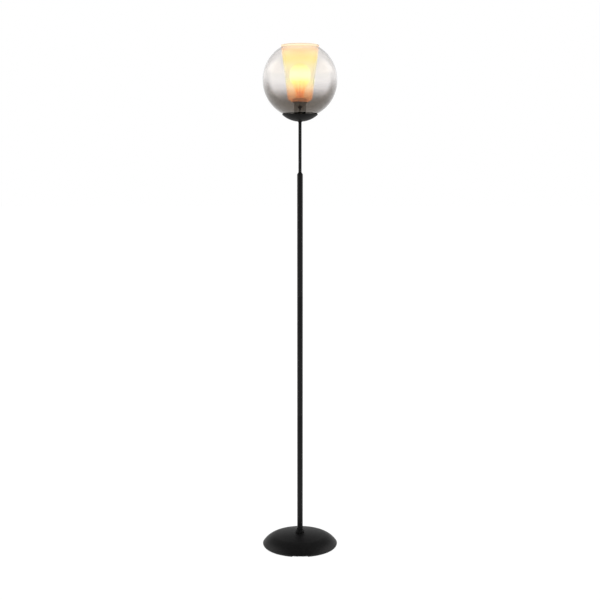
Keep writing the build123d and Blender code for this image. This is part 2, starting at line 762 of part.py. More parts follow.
# Blown glass ball, open at the top, with a small hole at the bottom.
right_half = (Align.MIN, Align.CENTER)
above = (Align.CENTER, Align.MIN)
below = (Align.CENTER, Align.MAX)
with BuildPart() as globe_glass:
    with BuildSketch(Plane.XZ):
        with Locations((0, globe_centre)):
            Circle(globe_radius)
            Circle(globe_inner_radius, mode=Mode.SUBTRACT)
            Rectangle(globe_radius, 2 * globe_radius, align=right_half, mode=Mode.INTERSECT)
        with Locations((0, globe_centre)):
            Rectangle(2 * globe_mouth_radius, globe_radius, align=above, mode=Mode.SUBTRACT)
            Rectangle(2 * globe_hole_radius, globe_radius, align=below, mode=Mode.SUBTRACT)
    revolve(axis=Axis.Z)
    mouth_edges = globe_glass.edges().filter_by(GeomType.CIRCLE)
    fillet(mouth_edges, glass_edge_radius)
globe_glass.part.label = "globe_glass"
export_step(globe_glass.part, "parts/globe_glass.step")

with BuildPart() as ring_gasket:
    with BuildSketch(Plane.XZ):
        with Locations((cone_hole_radius, shade_ring_bottom)):
            gasket_align = (Align.MIN, Align.MAX)
            Rectangle(gasket_radius - cone_hole_radius, globe_drop, align=gasket_align)
        with Locations((0, globe_centre)):
            Circle(globe_inner_radius - gasket_clearance, mode=Mode.INTERSECT)
    revolve(axis=Axis.Z)
ring_gasket.part.label = "ring_gasket"
export_step(ring_gasket.part, "parts/ring_gasket.step")

# Threaded ring that clamps the globe, gripped by its scallops.
with BuildPart() as globe_ring:
    with BuildSketch(Plane.XY.offset(shade_ring_bottom)):
        Circle(shade_ring_radius)
        Circle(holder_thread_bore, mode=Mode.SUBTRACT)
        with PolarLocations(shade_ring_radius, ring_grip_count):
            Circle(ring_grip_radius, mode=Mode.SUBTRACT)
    extrude(amount=shade_ring_height)
globe_ring.part.label = "globe_ring"
export_step(globe_ring.part, "parts/globe_ring.step")

# ================================================================ INNER CONE
with BuildPart() as cone_ring_lower:
    with BuildSketch(Plane.XY.offset(cone_seat)):
        Circle(cone_ring_radius)
        Circle(holder_thread_bore, mode=Mode.SUBTRACT)
        with PolarLocations(cone_ring_radius, ring_grip_count):
            Circle(ring_grip_radius, mode=Mode.SUBTRACT)
    extrude(amount=-cone_ring_height)
cone_ring_lower.part.label = "cone_ring_lower"
export_step(cone_ring_lower.part, "parts/cone_ring_lower.step")

# Frosted glass cone, round-cornered at the bottom, whose rim stands just above the globe's mouth.
inner_foot_radius = cone_foot_radius + cone_wall * cone_slope - cone_wall_across
with BuildPart() as inner_cone:
    with BuildSketch(Plane.XZ) as cone_outer:
        with BuildLine():
            Polyline(
                (0, cone_seat),
                (cone_foot_radius, cone_seat),
                (cone_rim_radius, cone_top),
                (0, cone_top),
                close=True,
            )
        make_face()
        fillet(cone_outer.vertices().sort_by(Axis.X)[2:3], cone_corner_radius)
    revolve(axis=Axis.Z)
    with BuildSketch(Plane.XZ) as cone_inner:
        with BuildLine():
            Polyline(
                (0, cone_ring_bottom),
                (inner_foot_radius, cone_ring_bottom),
                (cone_rim_radius - cone_wall_across, cone_top),
                (0, cone_top),
                close=True,
            )
        make_face()
        fillet(cone_inner.vertices().sort_by(Axis.X)[2:3], cone_corner_radius - cone_wall)
    revolve(axis=Axis.Z, mode=Mode.SUBTRACT)
    with BuildSketch(Plane.XY.offset(cone_seat)):
        Circle(cone_hole_radius)
    extrude(amount=cone_wall, mode=Mode.SUBTRACT)
    fillet(inner_cone.edges().group_by(Axis.Z)[-1], glass_edge_radius)
inner_cone.part.label = "inner_cone"
export_step(inner_cone.part, "parts/inner_cone.step")

with BuildPart() as cone_ring_upper:
    with BuildSketch(Plane.XY.offset(cone_ring_bottom)):
        Circle(cone_ring_radius)
        Circle(holder_thread_bore, mode=Mode.SUBTRACT)
        with PolarLocations(cone_ring_radius, ring_grip_count):
            Circle(ring_grip_radius, mode=Mode.SUBTRACT)
    extrude(amount=cone_ring_height)
cone_ring_upper.part.label = "cone_ring_upper"
export_step(cone_ring_upper.part, "parts/cone_ring_upper.step")

# ================================================================ BULB
with BuildPart() as bulb_contact:
    with BuildSketch(Plane.XY.offset(bulb_bottom)):
        Circle(bulb_contact_radius)
    extrude(amount=bulb_contact_height)
    fillet(bulb_contact.edges().group_by(Axis.Z)[0], bulb_contact_height / 2)
bulb_contact.part.label = "bulb_contact"
export_step(bulb_contact.part, "parts/bulb_contact.step")

with BuildPart() as bulb_insulator:
    with BuildSketch(Plane.XY.offset(insulator_bottom)):
        Circle(bulb_insulator_radius)
    extrude(amount=bulb_insulator_height)
    chamfer(bulb_insulator.edges().group_by(Axis.Z)[0], bulb_insulator_height / 2)
bulb_insulator.part.label = "bulb_insulator"
export_step(bulb_insulator.part, "parts/bulb_insulator.step")

with BuildPart() as bulb_cap:
    with BuildSketch(Plane.XY.offset(bulb_cap_bottom)):
        Circle(bulb_cap_radius)
    extrude(amount=bulb_cap_length)
    chamfer(bulb_cap.edges().group_by(Axis.Z)[0], bulb_cap_radius - bulb_insulator_radius)
    with BuildSketch(Plane.XY.offset(bulb_neck_bottom)):
        Circle(bulb_cap_radius - bulb_cap_wall)
    extrude(amount=bulb_neck_depth, mode=Mode.SUBTRACT)
bulb_cap.part.label = "bulb_cap"
export_step(bulb_cap.part, "parts/bulb_cap.step")

# Amber glass envelope: straight neck, flaring flank and rounded crown.
with BuildPart() as bulb_glass:
    with BuildSketch(Plane.XZ):
        with BuildLine():
            bulb_outline(0)
        make_face()
        with BuildLine():
            bulb_outline(bulb_glass_wall)
        make_face(mode=Mode.SUBTRACT)
    revolve(axis=Axis.Z)
bulb_glass.part.label = "bulb_glass"
export_step(bulb_glass.part, "parts/bulb_glass.step")

# Glass stem: a flare in the neck that narrows to a rod up the middle.
stem_wide = bulb_neck_radius - bulb_glass_wall - slip_clearance
stem_tip_height = filament_top + stem_tip
with BuildPart() as bulb_stem:
    with BuildSketch(Plane.XZ):
        with BuildLine():
            Polyline(
                (0, bulb_neck_bottom),
                (stem_wide, bulb_neck_bottom),
                (stem_wide, stem_foot_top),
                (stem_shoulder_radius, stem_foot_top),
                (stem_shoulder_radius, stem_foot_top + stem_shoulder_rise),
                (stem_radius, stem_foot_top + stem_taper_rise),
                (stem_radius, stem_tip_height),
                (0, stem_tip_height),
                close=True,
            )
        make_face()
    revolve(axis=Axis.Z)
bulb_stem.part.label = "bulb_stem"
export_step(bulb_stem.part, "parts/bulb_stem.step")

# Glowing rods that lean outwards from a narrow ring round the stem.
filament_spread = filament_head_circle - filament_foot_circle
filament_length = math.hypot(filament_spread, filament_rise)
filament_lean = math.degrees(math.atan2(filament_spread, filament_rise))
filament_middle = filament_foot + filament_rise / 2
filament_middle_circle = filament_foot_circle + filament_spread / 2
with BuildPart() as filaments:
    with Locations((0, 0, filament_middle)):
        with PolarLocations(filament_middle_circle, filament_count):
            Cylinder(filament_radius, filament_length, rotation=(0, filament_lean, 0))
filaments.part.label = "filaments"
export_step(filaments.part, "parts/filaments.step")

# Spokes from the stem to both ends of each rod, cut to the rods' round sides.
foot_spoke_level = filament_foot + filament_radius
head_spoke_level = filament_top - filament_radius
foot_spoke_start = stem_shoulder_radius + thread_clearance
head_spoke_start = stem_radius + thread_clearance
spoke_inset = filament_radius * filament_spread / filament_rise
foot_spoke_end = filament_foot_circle + spoke_inset
head_spoke_end = filament_head_circle - spoke_inset
spokes = [
    (foot_spoke_level, foot_spoke_start, foot_spoke_end),
    (head_spoke_level, head_spoke_start, head_spoke_end),
]
with BuildPart() as support_wires:
    for level, start, end in spokes:
        with Locations((0, 0, level)):
            with PolarLocations((start + end) / 2, filament_count):
                Cylinder(support_wire_radius, end - start, rotation=(0, 90, 0))
    add(filaments.part, mode=Mode.SUBTRACT)
support_wires.part.label = "support_wires"
export_step(support_wires.part, "parts/support_wires.step")

# ================================================================ WIRING INSIDE
# Sheathed cable up the middle of the pole, from the base's pocket into the lampholder.
with BuildPart() as inner_cable:
    with BuildSketch(Plane.XY.offset(cable_bottom)):
        Circle(cable_radius)
    extrude(amount=cable_top - cable_bottom)
inner_cable.part.label = "inner_cable"
export_step(inner_cable.part, "parts/inner_cable.step")

# Two cores from the cable's foot into the terminal block.
terminal_end = terminal_start + terminal_bore_depth - wire_radius
with BuildPart() as base_wires:
    for side in (-1, 1):
        with BuildLine() as base_route:
            FilletPolyline(
                (0, side * wire_offset, cable_bottom),
                (0, side * wire_offset, terminal_axis),
                (terminal_end, side * terminal_bore_offset, terminal_axis),
                radius=wire_bend,
            )
        with BuildSketch(Plane(base_route.line @ 0, z_dir=base_route.line % 0)):
            Circle(wire_radius)
        sweep(path=base_route.line)
base_wires.part.label = "base_wires"
export_step(base_wires.part, "parts/base_wires.step")

# Two cores from the cable's top to the lampholder's terminal screws.
holder_wire_turn = cable_top + cable_tail / 2
holder_wire_end = terminal_screw_offset - terminal_screw_head_radius - wire_radius
with BuildPart() as holder_wires:
    for side in (-1, 1):
        with BuildLine() as holder_route:
            FilletPolyline(
                (side * wire_offset, 0, cable_top),
                (side * wire_offset, 0, holder_wire_turn),
                (side * holder_wire_end, 0, ledge_top - terminal_screw_head_height),
                radius=wire_bend,
            )
        with BuildSketch(Plane(holder_route.line @ 0, z_dir=holder_route.line % 0)):
            Circle(wire_radius)
        sweep(path=holder_route.line)
holder_wires.part.label = "holder_wires"
export_step(holder_wires.part, "parts/holder_wires.step")
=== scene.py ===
"""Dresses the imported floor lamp: smoked globe, frosted cone, amber bulb, slim pole and domed base.

Sizes in the classes are millimetres, as a workshop drawing gives them, and MM turns them to metres.
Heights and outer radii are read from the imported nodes, so every piece sits where the solid sits.
"""

from __future__ import annotations

import logging
import math
from dataclasses import dataclass, field
from enum import Enum
from functools import lru_cache
from typing import Any, Callable, Sequence

import bmesh
import bpy
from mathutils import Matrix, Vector

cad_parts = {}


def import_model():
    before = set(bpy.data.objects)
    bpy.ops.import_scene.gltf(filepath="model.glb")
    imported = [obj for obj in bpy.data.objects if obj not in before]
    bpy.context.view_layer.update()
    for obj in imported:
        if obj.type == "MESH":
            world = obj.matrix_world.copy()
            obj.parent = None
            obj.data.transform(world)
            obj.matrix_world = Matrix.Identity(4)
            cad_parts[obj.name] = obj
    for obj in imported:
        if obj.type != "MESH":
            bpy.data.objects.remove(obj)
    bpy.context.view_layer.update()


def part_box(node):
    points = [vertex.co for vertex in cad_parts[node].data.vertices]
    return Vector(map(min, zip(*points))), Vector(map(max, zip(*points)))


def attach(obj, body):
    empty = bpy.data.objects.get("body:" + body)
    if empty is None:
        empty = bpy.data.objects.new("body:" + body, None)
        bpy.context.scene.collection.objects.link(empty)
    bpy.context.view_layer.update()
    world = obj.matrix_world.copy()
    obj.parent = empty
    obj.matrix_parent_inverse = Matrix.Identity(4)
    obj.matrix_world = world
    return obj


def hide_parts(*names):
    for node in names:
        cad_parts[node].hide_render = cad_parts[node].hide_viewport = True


LOG = logging.getLogger("floor_lamp")
MM = 0.001
FULL_TURN = 2 * math.pi

Point = tuple[float, float]
Corner = tuple[float, float, float]
Colour = tuple[float, float, float, float]


class Body(Enum):
    """The two bodies that the lamp's joint connects."""

    LAMP = "lamp"
    BULB = "bulb"


class Slot(Enum):
    """The record's material slots."""

    POWDER_COAT = "powder_coat"
    CAST_WEIGHT = "cast_weight"
    PLATED_STEEL = "plated_steel"
    FOAM_PAD = "foam_pad"
    WHITE_NYLON = "white_nylon"
    BRASS_CONTACTS = "brass_contacts"
    BLACK_PLASTIC = "black_plastic"
    WHITE_CERAMIC = "white_ceramic"
    SOFT_RUBBER = "soft_rubber"
    SMOKED_GLASS = "smoked_glass"
    FROSTED_GLASS = "frosted_glass"
    BULB_METAL = "bulb_metal"
    BLACK_GLASS = "black_glass"
    AMBER_GLASS = "amber_glass"
    CLEAR_GLASS = "clear_glass"
    GLOWING_FILAMENT = "glowing_filament"
    SUPPORT_WIRE = "support_wire"
    CABLE_SHEATH = "cable_sheath"
    WIRE_SHEATH = "wire_sheath"


def linear(hex_colour: str) -> Colour:
    """Turn an sRGB hex colour to linear light.

    Args:
        hex_colour: six hex digits after a hash sign.

    Returns:
        Linear red, green, blue and an alpha of 1.
    """
    channels = [int(hex_colour[i : i + 2], 16) / 255 for i in (1, 3, 5)]
    light = [c / 12.92 if c <= 0.04045 else ((c + 0.055) / 1.055) ** 2.4 for c in channels]
    return (light[0], light[1], light[2], 1.0)


def per_metre(size_mm: float) -> float:
    """Texture scale at which one feature of a pattern is size_mm wide."""
    return 1 / (size_mm * MM)


def add_node(
    tree: bpy.types.NodeTree,
    kind: str,
    settings: dict[Any, Any] | None = None,
    links: dict[Any, bpy.types.NodeSocket] | None = None,
) -> bpy.types.Node:
    """Add a node, set it and link its inputs.

    Args:
        tree: the node tree that the node goes into.
        kind: the node's type name.
        settings: property or input names with their values; "stops" fills a colour ramp.
        links: input names or numbers with the sockets that feed them.

    Returns:
        The new node.
    """
    node = tree.nodes.new(kind)
    for key, value in (settings or {}).items():
        if key == "stops":
            elements = node.color_ramp.elements
            while len(elements) < len(value):
                elements.new(1.0)
            for element, (place, colour) in zip(elements, value):
                element.position = place
                element.color = colour
        elif isinstance(key, str) and hasattr(node, key):
            setattr(node, key, value)
        else:
            node.inputs[key].default_value = value
    for key, socket in (links or {}).items():
        tree.links.new(socket, node.inputs[key])
    return node


# ---------------------------------------------------------------- finishes


@dataclass(frozen=True)
class Finish:
    """What every finish has: the real material's name and a shader."""

    name: str

    def shader(self, tree: bpy.types.NodeTree) -> bpy.types.Node:
        """Build the shader in an empty tree and give its node."""
        raise NotImplementedError

    def level(self, tree: bpy.types.NodeTree, bottom: float, top: float) -> bpy.types.NodeSocket:
        """Give a height on the piece as a share.

        Args:
            tree: the node tree to build in.
            bottom: the height, in mm, where the share is 0.
            top: the height, in mm, where the share is 1.

        Returns:
            A socket that runs from 0 at bottom to 1 at top.
        """
        place = add_node(tree, "ShaderNodeTexCoord")
        axes = add_node(tree, "ShaderNodeSeparateXYZ", links={0: place.outputs["Object"]})
        share = add_node(
            tree,
            "ShaderNodeMapRange",
            {"From Min": bottom * MM, "From Max": top * MM},
            {"Value": axes.outputs["Z"]},
        )
        return share.outputs["Result"]


@dataclass(frozen=True)
class Grained(Finish):
    """A solid finish of two close tones with a fine grain, such as a coat, casting or moulding.

    Sizes of grain and mottle are in mm. The sheen of the surface varies between two roughnesses.
    """

    tone: str
    second_tone: str
    roughness: tuple[float, float]
    grain: float
    grain_depth: float
    mottle: float
    metallic: float = 0.0
    ior: float = 1.5
    mirror: float = 0.5
    stretch: tuple[float, float, float] = (1.0, 1.0, 1.0)

    def shader(self, tree: bpy.types.NodeTree) -> bpy.types.Node:
        """Mix the tones by the mottle, and lift the grain as bump."""
        place = add_node(tree, "ShaderNodeTexCoord")
        laid = add_node(
            tree, "ShaderNodeMapping", {"Scale": self.stretch}, {"Vector": place.outputs["Object"]}
        )
        mottle = add_node(
            tree,
            "ShaderNodeTexNoise",
            {"Scale": per_metre(self.mottle), "Detail": 3.0, "Roughness": 0.6},
            {"Vector": laid.outputs["Vector"]},
        )
        grain = add_node(
            tree,
            "ShaderNodeTexNoise",
            {"Scale": per_metre(self.grain), "Detail": 2.0, "Roughness": 0.5},
            {"Vector": laid.outputs["Vector"]},
        )
        tones = add_node(
            tree,
            "ShaderNodeValToRGB",
            {"stops": [(0.35, linear(self.tone)), (0.65, linear(self.second_tone))]},
            {"Fac": mottle.outputs["Fac"]},
        )
        dull = add_node(
            tree,
            "ShaderNodeMapRange",
            {"From Min": 0.3, "From Max": 0.7, "To Min": self.roughness[0], "To Max": self.roughness[1]},
            {"Value": grain.outputs["Fac"]},
        )
        bump = add_node(
            tree,
            "ShaderNodeBump",
            {"Strength": 1.0, "Distance": self.grain_depth * MM},
            {"Height": grain.outputs["Fac"]},
        )
        settings: dict[Any, Any] = {"Metallic": self.metallic}
        if not self.metallic:
            settings["IOR"] = self.ior
            settings["Specular IOR Level"] = self.mirror
        return add_node(
            tree,
            "ShaderNodeBsdfPrincipled",
            settings,
            {
                "Base Color": tones.outputs["Color"],
                "Roughness": dull.outputs["Result"],
                "Normal": bump.outputs["Normal"],
            },
        )


@dataclass(frozen=True)
class SmokedBlownGlass(Finish):
    """Blown soda glass, smoked from the outside: nearly clear above, dark grey below.

    The eye sees a pale silvery upper half and a smoky lower half that mirrors the floor.
    """

    dark_level: float
    clear_level: float
    ior: float = 1.5
    wave: float = 60.0
    wave_depth: float = 0.05
    slant: tuple[float, float] = (0.3, 0.52)
    slant_rise: float = -36.0

    def smoke_level(self, tree: bpy.types.NodeTree) -> bpy.types.NodeSocket:
        """Give the place in the smoke's fade: by height, and denser where the coat is seen at a slant.

        Args:
            tree: the node tree to build in.

        Returns:
            A socket that is 0 in full smoke and 1 in clear glass.
        """
        facing = add_node(tree, "ShaderNodeLayerWeight", {"Blend": 0.5})
        denser = add_node(
            tree,
            "ShaderNodeMapRange",
            {
                "interpolation_type": "SMOOTHSTEP",
                "From Min": self.slant[0],
                "From Max": self.slant[1],
                "To Min": 0.0,
                "To Max": self.slant_rise / (self.clear_level - self.dark_level),
            },
            {"Value": facing.outputs["Facing"]},
        )
        height = self.level(tree, self.dark_level, self.clear_level)
        place = add_node(
            tree,
            "ShaderNodeMath",
            {"operation": "ADD", "use_clamp": True},
            {0: height, 1: denser.outputs["Result"]},
        )
        return place.outputs[0]

    def shader(self, tree: bpy.types.NodeTree) -> bpy.types.Node:
        """Tint clear glass by height, with the slow waves that blowing leaves."""
        stops = [
            (0.0, linear("#95928F")),
            (0.128, linear("#AAA7A5")),
            (0.26, linear("#C5C3C2")),
            (0.392, linear("#E1DFDF")),
            (0.523, linear("#EEECEB")),
            (0.655, linear("#F7F4F3")),
            (0.787, linear("#FBF9F6")),
            (1.0, linear("#F6F3F0")),
        ]
        smoke = self.smoke_level(tree)
        tint = add_node(tree, "ShaderNodeValToRGB", {"stops": stops}, {"Fac": smoke})
        place = add_node(tree, "ShaderNodeTexCoord")
        waves = add_node(
            tree,
            "ShaderNodeTexNoise",
            {"Scale": per_metre(self.wave), "Detail": 1.0},
            {"Vector": place.outputs["Object"]},
        )
        bump = add_node(
            tree,
            "ShaderNodeBump",
            {"Strength": 1.0, "Distance": self.wave_depth * MM},
            {"Height": waves.outputs["Fac"]},
        )
        return add_node(
            tree,
            "ShaderNodeBsdfPrincipled",
            {
                "Transmission Weight": 1.0,
                "IOR": self.ior,
                "Roughness": 0.0,
                "Specular Tint": linear("#FFE6CC"),
            },
            {"Base Color": tint.outputs["Color"], "Normal": bump.outputs["Normal"]},
        )


@dataclass(frozen=True)
class FrostedGlassWithPaintedGlow(Finish):
    """Pale amber glass, acid frosted inside, with the bulb's light spread through it.

    The eye sees the bulb blurred, in a painted glow: emission by height on the glass, yellow beside the bulb, peach at
    rim and foot and almost none at the very rim, in place of the light that the frosted skin scatters.
    """

    foot: float
    rim: float
    glow: float = 1.0
    grit: float = 1.5
    grit_depth: float = 0.004

    def shader(self, tree: bpy.types.NodeTree) -> bpy.types.Node:
        """Let light through blurred, and add a painted glow by height in place of the light that the frosted skin
        scatters.
        """
        # Painted glow: emission colour by height on the cone, in place of the bulb's light scattered in the frost,
        # fading to almost none at the very rim.
        stops = [
            (0.0, linear("#955530")),
            (0.134, linear("#925F3F")),
            (0.242, linear("#816E59")),
            (0.35, linear("#61694B")),
            (0.457, linear("#4F5357")),
            (0.6, linear("#686B5C")),
            (0.75, linear("#6E6A31")),
            (0.93, linear("#866450")),
            (0.975, linear("#806049")),
            (0.99, linear("#1E1610")),
        ]
        height = self.level(tree, self.foot, self.rim)
        light = add_node(tree, "ShaderNodeValToRGB", {"stops": stops}, {"Fac": height})
        place = add_node(tree, "ShaderNodeTexCoord")
        grit = add_node(
            tree,
            "ShaderNodeTexNoise",
            {"Scale": per_metre(self.grit), "Detail": 2.0},
            {"Vector": place.outputs["Object"]},
        )
        bump = add_node(
            tree,
            "ShaderNodeBump",
            {"Strength": 1.0, "Distance": self.grit_depth * MM},
            {"Height": grit.outputs["Fac"]},
        )
        return add_node(
            tree,
            "ShaderNodeBsdfPrincipled",
            {
                "Base Color": linear("#F9EDD2"),
                "Roughness": 0.2,
                "IOR": 1.5,
                "Transmission Weight": 0.92,
                "Emission Strength": self.glow,
            },
            {"Emission Color": light.outputs["Color"], "Normal": bump.outputs["Normal"]},
        )


@dataclass(frozen=True)
class TintedGlass(Finish):
    """Thin blown or pressed glass of one tint, clean and glossy.

    glow_stops, where given, are the light that the warm inner side of a lit envelope sends out.
    """

    tint: str
    bottom: float = 0.0
    top: float = 1.0
    glow: float = 0.0
    glow_stops: tuple[tuple[float, str], ...] = ()
    roughness: float = 0.0
    ior: float = 1.5
    streak: float = 9.0
    streak_depth: float = 0.01

    def shader(self, tree: bpy.types.NodeTree) -> bpy.types.Node:
        """Clear tinted glass with faint drawing streaks, and its glow by height."""
        place = add_node(tree, "ShaderNodeTexCoord")
        streaks = add_node(
            tree,
            "ShaderNodeTexNoise",
            {"Scale": per_metre(self.streak), "Detail": 1.0},
            {"Vector": place.outputs["Object"]},
        )
        bump = add_node(
            tree,
            "ShaderNodeBump",
            {"Strength": 1.0, "Distance": self.streak_depth * MM},
            {"Height": streaks.outputs["Fac"]},
        )
        settings = {
            "Base Color": linear(self.tint),
            "Roughness": self.roughness,
            "IOR": self.ior,
            "Transmission Weight": 1.0,
            "Emission Strength": self.glow,
        }
        links = {"Normal": bump.outputs["Normal"]}
        if self.glow_stops:
            stops = [(place_, linear(colour)) for place_, colour in self.glow_stops]
            height = self.level(tree, self.bottom, self.top)
            light = add_node(tree, "ShaderNodeValToRGB", {"stops": stops}, {"Fac": height})
            links["Emission Color"] = light.outputs["Color"]
        return add_node(tree, "ShaderNodeBsdfPrincipled", settings, links)


@dataclass(frozen=True)
class GlowingPhosphor(Finish):
    """Phosphor coat on a lit rod: yellow-white where it is bright, orange at its cooler foot."""

    bottom: float
    top: float
    strength: float = 1.15

    def shader(self, tree: bpy.types.NodeTree) -> bpy.types.Node:
        """Send out light whose colour follows the height along the rod."""
        stops = [
            (0.0, linear("#E05400")),
            (0.3, linear("#F88A00")),
            (0.55, linear("#FFB400")),
            (0.78, linear("#FFE620")),
            (1.0, linear("#FFF8A0")),
        ]
        height = self.level(tree, self.bottom, self.top)
        heat = add_node(tree, "ShaderNodeValToRGB", {"stops": stops}, {"Fac": height})
        return add_node(
            tree,
            "ShaderNodeBsdfPrincipled",
            {"Base Color": linear("#8A5A18"), "Roughness": 0.7, "Emission Strength": self.strength},
            {"Emission Color": heat.outputs["Color"]},
        )


# Powder coat on spun or drawn steel: electrostatic spray, baked. A satin black with a fine
# orange peel; the 0.9 mm grain is drawn coarser than the real 0.3 mm so that it shows.
POWDER_COAT = Grained("powder_coated_steel", "#151415", "#1A1919", (0.42, 0.52), 0.9, 0.004, 38.0, mirror=0.22)
# The same powder coat on the spun dish, painted darker and with hardly any gloss: painted shade on the dish.
SHADED_DISH_COAT = Grained("shaded_dish_powder_coat", "#0F0D0C", "#14110F", (0.46, 0.56), 0.9, 0.004, 38.0, mirror=0.1)
# Cast iron, sand cast and painted with primer: dull dark grey with a sandy skin.
CAST_IRON = Grained("sand_cast_iron", "#3B3B3A", "#4A4946", (0.6, 0.8), 1.6, 0.12, 14.0, metallic=0.6)
# Zinc plate on turned steel, clear passivated: bright grey with fine lathe lines.
ZINC_PLATE = Grained(
    "zinc_plated_steel", "#B9BDC1", "#CFD2D4", (0.22, 0.36), 0.8, 0.006, 9.0,
    metallic=1.0, stretch=(1.0, 1.0, 6.0),
)
# Closed-cell EVA foam, cut from sheet: matt black with an open pore pattern.
EVA_FOAM = Grained("closed_cell_eva_foam", "#161616", "#242424", (0.85, 0.95), 1.1, 0.2, 6.0)
# Injection moulded nylon: off-white, slightly translucent look, satin.
NYLON = Grained("moulded_nylon", "#E6E2D8", "#EFECE4", (0.38, 0.5), 1.2, 0.01, 18.0, ior=1.53)
# Stamped brass strip, unpolished: warm yellow with rolling marks.
BRASS = Grained(
    "stamped_brass", "#B98F3F", "#CBA55A", (0.25, 0.4), 0.9, 0.006, 7.0,
    metallic=1.0, stretch=(1.0, 1.0, 4.0),
)
# Phenolic moulding compound: deep black, glossy from the mould with a faint flow pattern.
PHENOLIC = Grained("moulded_phenolic", "#1D1816", "#26201D", (0.3, 0.42), 1.0, 0.008, 22.0, ior=1.6)
# Glazed steatite: white ceramic with a slow-flowing glaze.
STEATITE = Grained("glazed_steatite", "#ECE8DF", "#F4F1EA", (0.12, 0.24), 5.0, 0.02, 12.0, ior=1.55)
# Die-cut silicone rubber: milky grey, soft sheen.
SILICONE = Grained("die_cut_silicone", "#8F8D8A", "#A19F9B", (0.5, 0.62), 1.4, 0.012, 10.0, ior=1.41)
# Nickel-washed aluminium, rolled thread: pale silver with draw lines round the cap.
NICKEL_CAP = Grained(
    "nickel_washed_aluminium", "#BEB9AF", "#D3CFC6", (0.24, 0.36), 0.7, 0.005, 8.0,
    metallic=1.0, stretch=(1.0, 1.0, 5.0),
)
# Nickel wire, drawn: dull silver.
NICKEL_WIRE = Grained("drawn_nickel_wire", "#9B978F", "#B3AFA6", (0.3, 0.45), 0.6, 0.003, 3.0, metallic=1.0)
# Soft PVC, extruded: the cable's black sheath, satin with extrusion lines.
PVC_SHEATH = Grained(
    "extruded_pvc_sheath", "#1C1C1D", "#262627", (0.42, 0.55), 1.2, 0.01, 16.0,
    ior=1.53, stretch=(1.0, 1.0, 0.1),
)
# Soft PVC, extruded: the brown insulation of a single core.
PVC_CORE = Grained("extruded_pvc_core", "#5A3422", "#6A3F2A", (0.4, 0.5), 0.8, 0.005, 9.0, ior=1.53)
# Black lead glass pressed round the cap's contact: glossy, almost opaque.
VITRITE = Grained("pressed_black_glass", "#0D0C10", "#17151B", (0.06, 0.14), 3.0, 0.01, 8.0, ior=1.6)
# Soda glass tube, flame worked: water clear.
CLEAR_GLASS = TintedGlass("flame_worked_soda_glass", "#F6FAF8", ior=1.52)


@lru_cache(maxsize=None)
def material_of(finish: Finish) -> bpy.types.Material:
    """Build a finish's material once.

    Args:
        finish: the finish to build.

    Returns:
        The material, the same one each time.
    """
    material = bpy.data.materials.new(finish.name)
    material.use_nodes = True
    tree = material.node_tree
    tree.nodes.clear()
    shader = finish.shader(tree)
    output = add_node(tree, "ShaderNodeOutputMaterial")
    tree.links.new(shader.outputs[0], output.inputs["Surface"])
    return material


# ---------------------------------------------------------------- mesh tools


@dataclass(frozen=True)
class Extent:
    """A round node's lowest and highest level and its outer radius, in mm."""

    bottom: float
    top: float
    radius: float

    @property
    def height(self) -> float:
        """The node's height."""
        return self.top - self.bottom


def extent(node: str) -> Extent:
    """Read a node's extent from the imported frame.

    Args:
        node: the CAD node's name.

    Returns:
        Its levels and outer radius, in mm.
    """
    low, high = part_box(node)
    return Extent(low.z / MM, high.z / MM, (high.x - low.x) / 2 / MM)


def arc(centre: Point, radius: float, start: float, end: float, steps: int) -> list[Point]:
    """Points on an arc.

    Args:
        centre: the arc's centre.
        radius: its radius.
        start: the angle of its first point, in degrees.
        end: the angle of its last point, in degrees.
        steps: how many pieces it is divided into.

    Returns:
        The points in order.
    """
    turns = [math.radians(start + (end - start) * i / steps) for i in range(steps + 1)]
    return [(centre[0] + radius * math.cos(a), centre[1] + radius * math.sin(a)) for a in turns]


def rounded(corners: Sequence[Corner], steps: int = 5) -> list[Point]:
    """Round the corners of a closed outline.

    Args:
        corners: radius from the axis, height and fillet radius of each corner, in mm.
        steps: how many pieces each fillet is divided into.

    Returns:
        The outline's points.
    """
    points: list[Point] = []
    for index, (across, height, fillet) in enumerate(corners):
        if not fillet:
            points.append((across, height))
            continue
        here = Vector((across, height))
        back = (Vector(corners[index - 1][:2]) - here).normalized()
        ahead = (Vector(corners[(index + 1) % len(corners)][:2]) - here).normalized()
        half = back.angle(ahead) / 2
        centre = here + (back + ahead).normalized() * (fillet / math.sin(half))
        first = here + back * (fillet / math.tan(half)) - centre
        last = here + ahead * (fillet / math.tan(half)) - centre
        start = math.atan2(first.y, first.x)
        turn = (math.atan2(last.y, last.x) - start + math.pi) % FULL_TURN - math.pi
        ends = (math.degrees(start), math.degrees(start + turn))
        points += arc((centre.x, centre.y), fillet, ends[0], ends[1], steps)
    return points


def mesh_object(name: str, points: list[Vector], faces: list[tuple[int, ...]], crease: float) -> bpy.types.Object:
    """Make a mesh object with outward normals.

    Args:
        name: the object's name.
        points: its vertices, in metres.
        faces: its faces as vertex numbers.
        crease: the angle, in degrees, above which an edge stays sharp.

    Returns:
        The object, linked to the scene.
    """
    mesh = bpy.data.meshes.new(name)
    mesh.from_pydata(points, [], faces)
    mesh.validate()
    shape = bmesh.new()
    shape.from_mesh(mesh)
    bmesh.ops.recalc_face_normals(shape, faces=shape.faces)
    shape.to_mesh(mesh)
    shape.free()
    mesh.shade_smooth()
    mesh.set_sharp_from_angle(angle=math.radians(crease))
    made = bpy.data.objects.new(name, mesh)
    bpy.context.scene.collection.objects.link(made)
    return made


